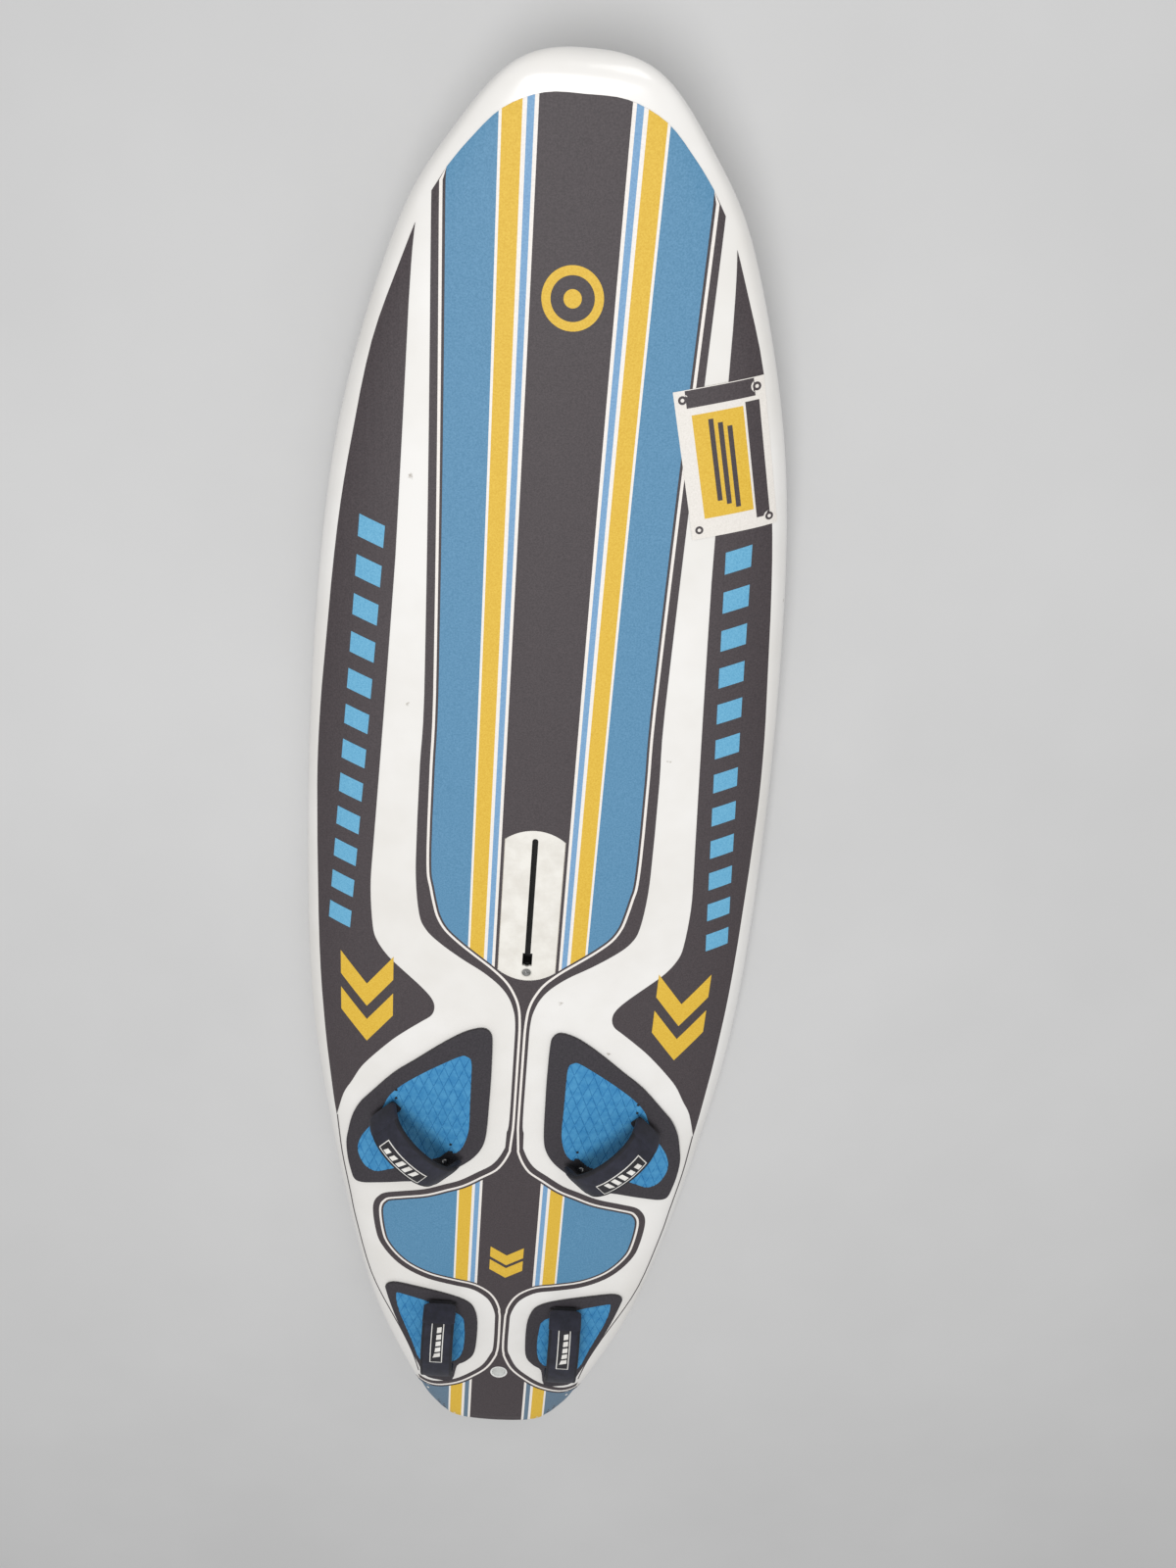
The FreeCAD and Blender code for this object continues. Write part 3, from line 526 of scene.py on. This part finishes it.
charcoal = grit_paint("charcoal_grit_paint", "#3a3336", "#4b4346")
print_white = grit_paint("white_grit_paint", "#ebe5de", "#f6f1ec", 0.5)
field_blue = grit_paint("field_blue_grit_paint", "#4b82a6", "#6094b8")
line_blue = grit_paint("line_blue_grit_paint", "#6d9ac4", "#80abd0")
yellow = grit_paint("yellow_grit_paint", "#d9ae2e", "#e7c044")
tail_blue = grit_paint("tail_blue_grit_paint", "#5a7388", "#6a8296")

# The three films that cross the centre line go round the bolt cup and the track plate.
cup_notch = [(max(0, 18 * math.sin(math.pi * step / 16)),
              cup_middle.y - 18 * math.cos(math.pi * step / 16)) for step in range(17)]
plate_loop = bowed_plate(TRACK_BOX, 0.9, 19)
plate_notch = plate_loop[19:] + plate_loop[:7]     # aft middle, starboard side, fore middle
notches = [(0, -1200)] + cup_notch + plate_notch
film("print_charcoal_band", [front_line + band_line + tail_line + notches], 0, charcoal)
film("print_white_pinline", [front_line + pin_line + tail_line + notches], 1, print_white)
film("print_charcoal_inner", [front_line + dark_line + tail_line + notches], 2, charcoal)

# Stripes: inner and outer distance from the centre line, and the paint.
STRIPES = [("white_inner", 56, 61, print_white), ("light_blue", 61, 70, line_blue),
           ("white_middle", 70, 75.5, print_white), ("yellow", 75.5, 100.3, yellow),
           ("white_outer", 100.3, 104, print_white), ("blue", 104, 172, field_blue)]
upper_panel = [point for point in panel_line if point.y > -90 and point.x > 40]
lower_panel = [point for point in panel_line if -875 < point.y < -540 and point.x > 40]
tail_panel = [point for point in panel_line if point.y < -1090 and point.x > 40]
for stripe, inner, outer, paint in STRIPES:
    film(f"print_upper_{stripe}", [front_line + upper_panel + [(0, -90)]], 5, paint,
         (inner, outer))
    film(f"print_lower_{stripe}", [[(0, -540)] + lower_panel + [(0, -875)]], 3, paint,
         (inner, 300 if stripe == "blue" else outer))
    tail_paint = tail_blue if "blue" in stripe else paint
    film(f"print_tail_{stripe}", [[(0, -1090)] + tail_panel + tail_line], 3, tail_paint,
         (inner, outer))

# The side wedges, with rows of slanted dashes and a pair of plain chevrons on each.
WEDGE_OUTER = [(207, 1099), (226, 1054), (267, 948), (299, 811), (323, 680), (346, 494),
               (361, 340), (367, 194), (367, -76), (359, -252), (346, -405), (340, -456)]
WEDGE_INNER = [(340, -456), (325, -396), (308, -360), (290, -323), (263, -287), (232, -252),
               (206, -228), (181, -207), (164, -192), (159, -174), (165, -155), (185, -131),
               (215, -102), (243, -74), (262, -45), (270, -15), (274, 60), (270, 139),
               (259, 290), (249, 450), (235, 644), (220, 926), (212, 1051), (207, 1099)]
wedge_loop = smooth_line(WEDGE_OUTER, 4) + smooth_line(WEDGE_INNER, 4)
film("print_side_wedges", [wedge_loop], 1, charcoal)

dash_blue = grit_paint("dash_blue_grit_paint", "#5aa2c8", "#72b6d8")
DASH_COUNT = 12
dashes = []
for index in range(DASH_COUNT):
    y = 705 - index * 62
    x = 250 + 57 * index / (DASH_COUNT - 1)
    dashes.append([(x, y - 14), (x + 38, y), (x + 41, y - 34), (x + 3, y - 48)])
film("print_wedge_dashes", dashes, 2, dash_blue)


def chevron(middle, top, half, painted_channel_shade, height):
    """A plain V bar, pointing aft."""
    return [(middle - half, top), (middle, top - painted_channel_shade), (middle + half, top),
            (middle + half, top - height), (middle, top - painted_channel_shade - height),
            (middle - half, top - height)]


film("print_wedge_chevrons", [chevron(280, -75, 47, 62, 48), chevron(280, -152, 47, 62, 48)],
     2, yellow)
film("print_small_chevrons",
     [chevron(0, -741, 33, 22, 27), chevron(0, -776, 33, 22, 27)], 3, yellow, mirror=False)

# A plain ring and disc on the nose, and a plain striped panel with four rivets to starboard.
film("print_nose_ring", [round_loop(0, 1024, 41, 48), round_loop(0, 1024, 29, 48)], 3, yellow,
     mirror=False)
film("print_nose_disc", [round_loop(0, 1024, 12, 32)], 3, yellow, mirror=False)


def turned_box(middle, length, width, degrees):
    """A rectangle's corners; length runs along the board before the turn."""
    turn = math.radians(degrees)
    return [(middle[0] + x * math.cos(turn) - y * math.sin(turn),
             middle[1] + x * math.sin(turn) + y * math.cos(turn))
            for x, y in ((-width / 2, -length / 2), (width / 2, -length / 2),
                         (width / 2, length / 2), (-width / 2, length / 2))]


PANEL_MIDDLE = (233, 827)
PANEL_TURN = 14.5
STICKER = 7                # the sticker's own first layer, over every print film
sticker_white = grit_paint("sticker_white_vinyl", "#e4dfd8", "#efeae4", 0.4)
film("sticker_base", [turned_box(PANEL_MIDDLE, 214, 127, PANEL_TURN)], STICKER,
     sticker_white,
     mirror=False)
film("sticker_yellow", [turned_box((228, 822), 150, 72, PANEL_TURN)], STICKER + 1, yellow,
     mirror=False)
film("sticker_dark_top", [turned_box((210, 918), 24, 96, PANEL_TURN)], STICKER + 1, charcoal,
     mirror=False)
film("sticker_dark_side", [turned_box((277, 830), 168, 20, PANEL_TURN)], STICKER + 1, charcoal,
     mirror=False)

# The thin dark line that follows the rail from the wedge's tip to the tail.
RAIL_PIN = [(340, -456), (332, -552), (317, -648), (306, -720), (275, -860), (228, -971),
            (209, -1015), (186, -1080), (172, -1140)]
pin = smooth_line(RAIL_PIN, 4)
film("print_rail_pinline", [pin + list(reversed(inboard(pin, 2.2)))], 0, charcoal)

for index in range(3):
    film(f"sticker_bar_{index}", [turned_box((216 + index * 14, 826 - index * 3.6), 118, 7,
                                             PANEL_TURN)], STICKER + 2, charcoal, mirror=False)

# The panel's four rivets: a pale ring with a dark middle at each corner.
for index, (along, across) in enumerate(((-94, -52), (-94, 52), (94, -52), (94, 52))):
    corner = turned_box(PANEL_MIDDLE, 2 * along, 2 * across, PANEL_TURN)[2]
    film(f"sticker_rivet_{index}", [round_loop(*corner, 8.5, 20)], STICKER + 1, sticker_white,
         mirror=False)
    film(f"sticker_rivet_ring_{index}", [round_loop(*corner, 6, 20)], STICKER + 2, charcoal,
         mirror=False)
    film(f"sticker_rivet_middle_{index}", [round_loop(*corner, 2.6, 14)], STICKER + 3,
         sticker_white,
         mirror=False)

# ---------------------------------------------------------------------------------------------
# Foot pads: 7 mm closed-cell EVA foam glued to the deck, a charcoal border round a blue inlay
# whose face is pressed into long diamonds. Beside the strap's feet, spare screw holes are drawn as
# near-black discs: painted shade for the holes' dark insides.
# ---------------------------------------------------------------------------------------------
PAD_HEIGHT = 7
GROOVE = 1.3
GROOVE_HALF_WIDTH = 1.0
DIAMOND_PITCH = 17
DIAMOND_SIDES = (Vector((24, 9.5, 0)).normalized(), Vector((24, -9.5, 0)).normalized())
FRONT_PAD = [(70, -210), (56, -220), (52, -243), (51, -317), (52, -385), (54, -449),
             (60, -482), (75, -509), (97, -531), (128, -555), (165, -576), (206, -583),
             (260, -595), (290, -603), (305, -600), (312, -579), (318, -547), (320, -510),
             (316, -480), (308, -441), (295, -409), (275, -381), (231, -327), (190, -291),
             (156, -261), (125, -236), (97, -218)]
FRONT_INLAY = [(88, -284), (97, -273), (108, -273), (137, -291), (174, -317), (212, -348),
               (236, -376), (247, -402), (259, -432), (277, -462), (290, -486), (297, -514),
               (293, -538), (281, -558), (262, -566), (240, -558), (180, -532), (119, -505), (104, -496),
               (94, -476), (87, -442), (87, -380), (87, -330)]
REAR_PAD = [(240, -875), (216, -864), (156, -872), (103, -885), (72, -900), (58, -921),
            (51, -957), (51, -1016), (56, -1054), (72, -1077), (89, -1093), (98, -1140),
            (128, -1145), (157, -1139), (170, -1107), (185, -1067), (204, -1013),
            (224, -954), (240, -893)]
REAR_INLAY = [(219, -897), (210, -889), (148, -905), (87, -935), (77, -970), (76, -1022),
              (82, -1058), (96, -1078), (125, -1090), (165, -1092), (185, -1032),
              (203, -976), (215, -935)]

eva_charcoal, tree, shader, place = new_material("charcoal_eva_foam")
tree.links.new(two_tone(tree, place, 3, linear("#2f2c31"), linear("#3f3b40")),
               shader.inputs["Base Color"])
shader.inputs["Roughness"].default_value = 0.8
tree.links.new(rough_relief(tree, place, 1.2, 0.2, 0.5), shader.inputs["Normal"])
eva_blue, tree, shader, place = new_material("blue_eva_foam")
tree.links.new(two_tone(tree, place, 14, linear("#2f82b8"), linear("#4796c6")),
               shader.inputs["Base Color"])
shader.inputs["Roughness"].default_value = 0.7
tree.links.new(rough_relief(tree, place, 1.0, 0.15, 0.5), shader.inputs["Normal"])
# Near-black for the spare screw holes: painted shade, standing in for the dark inside of each hole.
hole_painted_shade, tree, shader, place = new_material("painted_screw_hole_shade")
tree.links.new(two_tone(tree, place, 4, linear("#101012"), linear("#1d1d20")),
               shader.inputs["Base Color"])
shader.inputs["Roughness"].default_value = 0.6


def cut_lines(spans, normal, pitch, sides=(0,)):
    """Bisect the whole mesh in edit mode by parallel lines a pitch apart, mm."""
    normal = Vector(normal).normalized()
    reach = [Vector((x, y, 0)).dot(normal) for x in spans[0] for y in spans[1]]
    for step in range(math.ceil(min(reach) / pitch), math.ceil(max(reach) / pitch)):
        for side in sides:
            bpy.ops.mesh.select_all(action="SELECT")
            bpy.ops.mesh.bisect(plane_co=normal * (step * pitch + side) * MM,
                                plane_no=normal)


def pad_piece(name, loops, diamonds, material):
    """A foam sheet on the deck; with diamonds its face is pressed into raised cells."""
    item = plan_mesh(name, loops)
    xs = [point[0] for point in loops[0]]
    ys = [point[1] for point in loops[0]]
    spans = ((min(xs), max(xs)), (min(ys), max(ys)))
    bpy.ops.object.mode_set(mode="EDIT")
    if diamonds:
        for normal in DIAMOND_SIDES:
            cut_lines(spans, normal, DIAMOND_PITCH, (-GROOVE_HALF_WIDTH, 0, GROOVE_HALF_WIDTH))
    else:
        cut_lines(spans, (1, 0, 0), 14)
        cut_lines(spans, (0, 1, 0), 14)
    bpy.ops.mesh.select_all(action="SELECT")
    bpy.ops.mesh.remove_doubles(threshold=0.00001)
    face_up(item)
    for vertex in item.data.vertices:
        height = PAD_HEIGHT
        for normal in DIAMOND_SIDES if diamonds else ():
            lines = vertex.co.dot(normal) / MM / DIAMOND_PITCH
            if abs(lines - round(lines)) * DIAMOND_PITCH < 0.05:
                height = PAD_HEIGHT - GROOVE
        vertex.co.z = deck_at(vertex.co.x, vertex.co.y) + height * MM
    wall = item.modifiers.new("wall", "SOLIDIFY")
    wall.thickness = (PAD_HEIGHT - GROOVE - 0.6) * MM
    wall.offset = -1
    if not diamonds:
        edge = item.modifiers.new("edge", "BEVEL")
        edge.width = 0.0012
        edge.segments = 3
        edge.limit_method = "ANGLE"
        edge.angle_limit = math.radians(50)
    apply_all(item)
    dress(item, material)
    smooth_shade(item, 25)
    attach(item, "board")
    return item


def flipped(points, sign):
    return [(x * sign, y) for x, y in points]


for end, border, inlay in (("front", FRONT_PAD, FRONT_INLAY), ("rear", REAR_PAD, REAR_INLAY)):
    for side, sign in (("right", 1), ("left", -1)):
        outer = smooth_line(flipped(border, sign), 3, closed=True)
        inner = smooth_line(flipped(inlay, sign), 3, closed=True)
        ring_piece = pad_piece(f"{end}_{side}_pad_border_foam", [outer, inner], False,
                               eva_charcoal)
        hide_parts(f"{end}_{side}_pad_border")
        inlay_piece = pad_piece(f"{end}_{side}_pad_inlay_foam", [inner], True, eva_blue)
        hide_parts(f"{end}_{side}_pad_inlay")

# Spare screw holes: each is a near-black disc just proud of the pad face, painted shade for the hole's
# dark inside.
HOLES = [(224, -362), (224, -381), (120, -481), (118, -499), (98, -900)]
for index, (x, y) in enumerate(HOLES):
    for side, sign in (("right", 1), ("left", -1)):
        spot = plan_mesh(f"spare_hole_{side}_{index}", [round_loop(x * sign, y, 2.6, 20)])
        height = deck_at(x * sign * MM, y * MM) + (PAD_HEIGHT - 1) * MM
        bpy.ops.object.mode_set(mode="EDIT")
        bpy.ops.mesh.select_all(action="SELECT")
        bpy.ops.transform.translate(value=(0, 0, height))
        bpy.ops.mesh.extrude_region_move(TRANSFORM_OT_translate={"value": (0, 0, 0.0014)})
        bpy.ops.mesh.select_all(action="SELECT")
        bpy.ops.mesh.normals_make_consistent(inside=False)
        bpy.ops.object.mode_set(mode="OBJECT")
        dress(spot, hole_painted_shade)
        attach(spot, "board")

# ---------------------------------------------------------------------------------------------
# Footstraps: 46 mm polyester webbing screwed down at both ends, arched through a padded
# neoprene sleeve with bound, stitched edges, a hook-and-loop flap and a plain woven label.
# ---------------------------------------------------------------------------------------------
# The arch from the middle of a foot tab to the crown: (along the feet, up from the hinge), mm.
ARCH = [(64, -3.4), (70, -3.4), (76, -3.4), (83, -3.2), (88.5, -0.6), (90, 6), (87.5, 15),
        (83, 27), (76, 38.5), (64, 51), (47, 60.5), (25, 67), (0, 69)]
arch_path = smooth_line(ARCH + [(-a, n) for a, n in reversed(ARCH[:-1])], 10)
arch_path = even_steps(arch_path, 240)
ARCH_LENGTH = sum((end - start).length for start, end in zip(arch_path, arch_path[1:]))
WEBBING_WIDTH = 46
SLEEVE_WIDTH = 63


def arch_point(frame_axes, run, across, lift):
    """A point at a run along the arch from its first tab, in the row frame."""
    middle, along, out, up = frame_axes
    place = min(max(run / ARCH_LENGTH, 0), 1) * (len(arch_path) - 1)
    index = min(int(place), len(arch_path) - 2)
    spot = arch_path[index].lerp(arch_path[index + 1], place - index)
    ahead = arch_path[min(index + 2, len(arch_path) - 1)] - arch_path[max(index - 1, 0)]
    ahead.normalize()
    a = spot.x + ahead.y * -lift
    n = spot.y + ahead.x * lift
    if ahead.x < 0:
        a, n = spot.x + ahead.y * lift, spot.y - ahead.x * lift
    return middle + (along * a + out * across + up * n) * MM


def band(name, frame_axes, start, end, offset, width, thickness, lift, material,
         square=0.45, rows=64, around=24, waist=0.0, rounded=True):
    """A closed flat band along the arch, from start to end. Its section is a soft-cornered
    box; waist narrows its ends by that share and rounded draws its ends in."""
    deselect_all()
    bpy.ops.mesh.primitive_grid_add(x_subdivisions=rows, y_subdivisions=around, size=2)
    item = bpy.context.active_object
    item.name = name
    for vertex in item.data.vertices:
        share = (vertex.co.x + 1) / 2
        turn = math.tau * (vertex.co.y + 1) / 2
        step = round(share * rows)
        to_end = min(step, rows - step)
        draw = (0.0, 0.86, 0.97)[to_end] if rounded and to_end < 3 else 1.0
        draw = 0.0 if to_end == 0 else draw
        inner_share = min(max((step - 1) / (rows - 2), 0), 1)
        run = start + (end - start) * inner_share
        narrow = 1 - waist * (2 * inner_share - 1) ** 4
        c, s_turn = math.cos(turn), math.sin(turn)
        across = math.copysign(abs(c) ** square, c) * width / 2 * narrow
        rise = math.copysign(abs(s_turn) ** (square + 0.1), s_turn) * thickness / 2
        vertex.co = arch_point(frame_axes, run, offset + across * draw, lift + rise * draw)
    pick(item)
    bpy.ops.object.mode_set(mode="EDIT")
    bpy.ops.mesh.select_all(action="SELECT")
    bpy.ops.mesh.remove_doubles(threshold=0.00001)
    bpy.ops.mesh.normals_make_consistent(inside=False)
    bpy.ops.object.mode_set(mode="OBJECT")
    dress(item, material)
    smooth_shade(item, 50)
    return item


def fabric(name, hex_low, hex_high, rib_mm, relief_mm, sheen=0.3):
    """Woven or knitted cloth: an even grain of thread crossings and a soft sheen. The grain
    is drawn at 1 to 2 mm, coarser than real, so that it shows."""
    item, tree, shader, place = new_material(name)
    colour = two_tone(tree, place, 18, linear(hex_low), linear(hex_high))
    tree.links.new(colour, shader.inputs["Base Color"])
    shader.inputs["Roughness"].default_value = 0.85
    shader.inputs["Sheen Weight"].default_value = sheen
    shader.inputs["Sheen Roughness"].default_value = 0.5
    weave = add_node(tree, "ShaderNodeTexVoronoi", inputs={
        "Vector": place, "Scale": 1000 / rib_mm, "Randomness": 0.35})
    relief = add_node(tree, "ShaderNodeBump", inputs={
        "Height": weave.outputs["Distance"], "Distance": relief_mm * MM, "Strength": 0.7})
    tree.links.new(relief.outputs["Normal"], shader.inputs["Normal"])
    return item


neoprene = fabric("navy_black_neoprene", "#1b1c27", "#272836", 2.0, 0.3, 0.08)
binding_cloth = fabric("black_binding_tape", "#15151b", "#1f1f27", 1.6, 0.3, 0.05)
webbing_cloth = fabric("black_polyester_webbing", "#17171c", "#24242b", 2.2, 0.5, 0.05)
label_white = fabric("white_woven_label", "#d9d6d0", "#ecebe6", 1.2, 0.15, 0.1)
label_black = fabric("black_woven_label", "#1d1c20", "#29282d", 1.2, 0.15, 0.1)

joints = {joint["name"]: joint for joint in frame["joints"]}
for strap in ("front_left", "front_right", "rear_left", "rear_right"):
    joint = joints[f"{strap}_strap_lean"]
    body = f"{strap}_strap"
    along = Vector(joint["axis"]).normalized()
    up = (Vector((0, 0, 1)) - along * along.z).normalized()
    out = along.cross(up).normalized()
    # The label sits towards the tail and the outside, whichever way the axis runs.
    side = -1 if out.y > 0.1 or (abs(out.y) <= 0.1 and out.x < 0) else 1
    out = out * side
    axes = (Vector(joint["pos_m"]), along, out, up)
    crown = ARCH_LENGTH / 2
    foot = 38
    sleeve = band(f"{strap}_sleeve", axes, foot, ARCH_LENGTH - foot, 0, SLEEVE_WIDTH, 10.5, 0,
                  neoprene, 0.55, 70, 32, 0.10)
    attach(sleeve, body)
    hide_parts(f"{strap}_strap_sleeve")
    for edge in (-1, 1):
        name = f"{strap}_binding_{'outer' if edge > 0 else 'inner'}"
        binding = band(name, axes, foot + 3, ARCH_LENGTH - foot - 3,
                       edge * (SLEEVE_WIDTH / 2 - 3.6), 7.5, 8.6, 0, binding_cloth, 0.7, 70, 16)
        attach(binding, body)
    # The hook-and-loop flap that closes the sleeve at its forward end, and a cuff at the other.
    for name, start, end, wide, thick in (
            ("flap", foot - 3, foot + 34, SLEEVE_WIDTH + 2, 13.4),
            ("cuff", ARCH_LENGTH - foot - 26, ARCH_LENGTH - foot + 4, SLEEVE_WIDTH + 1.5, 12.6)):
        cover = band(f"{strap}_{name}", axes, start, end, 0, wide, thick, 0, neoprene, 0.5,
                     20, 32)
        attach(cover, body)
    # Webbing from each screwed tab up into the sleeve, baked in place and not attached to the strap's
    # body.
    for end_name, start, end, foot_sign in (("first", 0, 70, 1),
                                            ("second", ARCH_LENGTH - 70, ARCH_LENGTH, -1)):
        webbing = band(f"{strap}_webbing_{end_name}", axes, start, end, 0, WEBBING_WIDTH, 2.9,
                       0, webbing_cloth, 0.25, 44, 24)
        if foot_sign > 0:
            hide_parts(f"{strap}_end_tabs", f"{strap}_strap_webbing")
        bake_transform(webbing)
    # The label: a white frame, a black field on it and a row of plain slanted bars.
    outboard = 1 if along.x * joint["pos_m"][0] > 0 else -1
    label_middle = crown - outboard * 10
    if strap.startswith("rear"):
        label_middle = crown + (44 if along.y < 0 else -44)
    label_offset = 13 if strap.startswith("front") else 0
    half = 50 if strap.startswith("front") else 42
    for name, inset, rise, cloth in (("frame", 0, 5.6, label_white),
                                     ("field", 1.7, 5.8, label_black)):
        patch = band(f"{strap}_label_{name}", axes, label_middle - half + inset,
                     label_middle + half - inset, label_offset, 25 - 2 * inset, 0.8, rise,
                     cloth, 0.2, 40, 12, 0, False)
        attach(patch, body)
        if name == "frame":
            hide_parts(f"{strap}_strap_label")
    for index in range(5):
        start = label_middle - half + 11 + index * (2 * half - 22) / 5
        bar = band(f"{strap}_label_bar_{index}", axes, start, start + 9, label_offset, 16, 0.8,
                   6.0, label_white, 0.2, 8, 12, 0, False)
        for vertex in bar.data.vertices:
            lean = (vertex.co - axes[0]).dot(out) - label_offset * MM
            vertex.co += along * lean * 0.3
        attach(bar, body)

# ---------------------------------------------------------------------------------------------
# Hardware that keeps its CAD shape: the mast track in its white plate, the vent, the bolt cup,
# the fin box, and the screws, washers, plugs, blocks and foam inside. Only the finish is new.
# ---------------------------------------------------------------------------------------------


def moulded(name, hex_low, hex_high, roughness, grain_mm, relief_mm):
    """Moulded plastic or foam with a fine grain, slightly uneven in tone and gloss."""
    item, tree, shader, place = new_material(name)
    colour = two_tone(tree, place, 30, linear(hex_low), linear(hex_high))
    tree.links.new(colour, shader.inputs["Base Color"])
    gloss = add_node(tree, "ShaderNodeTexNoise", inputs={"Vector": place, "Scale": 90})
    spread = add_node(tree, "ShaderNodeMapRange", inputs={
        "Value": gloss.outputs["Fac"], "To Min": roughness - 0.08, "To Max": roughness + 0.08})
    tree.links.new(spread.outputs["Result"], shader.inputs["Roughness"])
    tree.links.new(rough_relief(tree, place, grain_mm, relief_mm, 0.5),
                   shader.inputs["Normal"])
    return item


steel, tree, shader, place = new_material("turned_stainless_steel")
tree.links.new(two_tone(tree, place, 6, linear("#9c9c9a"), linear("#bdbdbb")),
               shader.inputs["Base Color"])
shader.inputs["Metallic"].default_value = 1.0
shader.inputs["Roughness"].default_value = 0.32
tree.links.new(rough_relief(tree, place, 0.8, 0.03, 0.4), shader.inputs["Normal"])

# The track's channel, 4 mm and more below the plate's face, is painted near-black: painted shade for the
# deep slot.
track_plastic = moulded("white_track_plastic", "#e3dfd7", "#efece5", 0.5, 1.5, 0.1)
tree = track_plastic.node_tree
shader = next(node for node in tree.nodes if node.type == "BSDF_PRINCIPLED")
place = add_node(tree, "ShaderNodeTexCoord").outputs["Object"]
height = add_node(tree, "ShaderNodeSeparateXYZ", inputs={"Vector": place}).outputs["Z"]
painted_channel_shade = add_node(tree, "ShaderNodeMapRange", inputs={
    "Value": height, "From Min": 0.1195, "From Max": 0.1225}).outputs["Result"]
plate_colour = shader.inputs["Base Color"].links[0].from_socket
shade = add_node(tree, "ShaderNodeMix", {"data_type": "RGBA"})
tree.links.new(painted_channel_shade, shade.inputs["Factor"])
# Near-black painted shade inside the channel.
shade.inputs[6].default_value = linear("#141414")
tree.links.new(plate_colour, shade.inputs[7])
tree.links.new(shade.outputs[2], shader.inputs["Base Color"])

FINISHES = [
    (("mast_track_box",), track_plastic),
    (("fin_bolt_cup",), moulded("white_cup_plastic", "#eff0ee", "#f8f9f7", 0.35, 2.5, 0.05)),
    (("vent_housing",), moulded("pale_vent_plastic", "#cfccc4", "#dbd8d1", 0.45, 1.5, 0.06)),
    (("vent_screw",), steel),
    (("vent_seal",), moulded("black_seal_rubber", "#121212", "#1e1e1e", 0.7, 1.0, 0.05)),
    (("fin_box",), moulded("black_box_plastic", "#161617", "#222224", 0.55, 2.0, 0.1)),
    (("foam_core",), moulded("white_bead_foam", "#eeeeea", "#f8f8f5", 0.85, 3.5, 0.4)),
    (("mast_track_block", "fin_box_block"),
     moulded("tan_dense_foam", "#c4ac72", "#d6c08a", 0.85, 1.2, 0.2)),
]
plug_plastic = moulded("black_plug_plastic", "#17171a", "#242427", 0.55, 1.5, 0.08)
washer_plastic = moulded("black_washer_plastic", "#1b1b1e", "#29292d", 0.5, 1.2, 0.05)
for strap in ("front_left", "front_right", "rear_left", "rear_right"):
    FINISHES.append(((f"{strap}_plugs",), plug_plastic))
    FINISHES.append(((f"{strap}_washers",), washer_plastic))
    FINISHES.append(((f"{strap}_screws",), steel))
for names, finish in FINISHES:
    for name in names:
        cad_node = frame["nodes"][name]
        for slot in cad_node.material_slots:
            slot.material = finish

# ---------------------------------------------------------------------------------------------
# Stage: pale floor and soft studio light.
# ---------------------------------------------------------------------------------------------
deselect_all()
bpy.ops.mesh.primitive_plane_add(size=80, location=(0, 0, -0.001))
floor = bpy.context.active_object
floor.name = "studio_floor"
floor_paint, floor_tree, floor_shader, floor_place = new_material("floor_paint")
floor_tree.links.new(two_tone(floor_tree, floor_place, 900, linear("#cccccc"),
                              linear("#d1d1d1")), floor_shader.inputs["Base Color"])
floor_shader.inputs["Roughness"].default_value = 0.9
dress(floor, floor_paint)


def lamp(name, place, target, size, watts):
    data = bpy.data.lights.new(name, "AREA")
    data.shape = "DISK"
    data.size = size
    data.energy = watts
    item = bpy.data.objects.new(name, data)
    bpy.context.scene.collection.objects.link(item)
    item.location = place
    item.rotation_euler = (Vector(target) - Vector(place)).to_track_quat("-Z", "Y").to_euler()
    return item


lamp("overhead", (-0.3, 0.4, 4.2), (0, 0, 0), 2.0, 95)
lamp("nose_fill", (0.8, 3.2, 2.6), (0, 0.3, 0), 1.6, 18)

world = bpy.data.worlds.new("studio_air")
bpy.context.scene.world = world
world.use_nodes = True
world.node_tree.nodes["Background"].inputs["Color"].default_value = (1, 1, 1, 1)
world.node_tree.nodes["Background"].inputs["Strength"].default_value = 0.45
bpy.context.scene.view_settings.view_transform = "Standard"
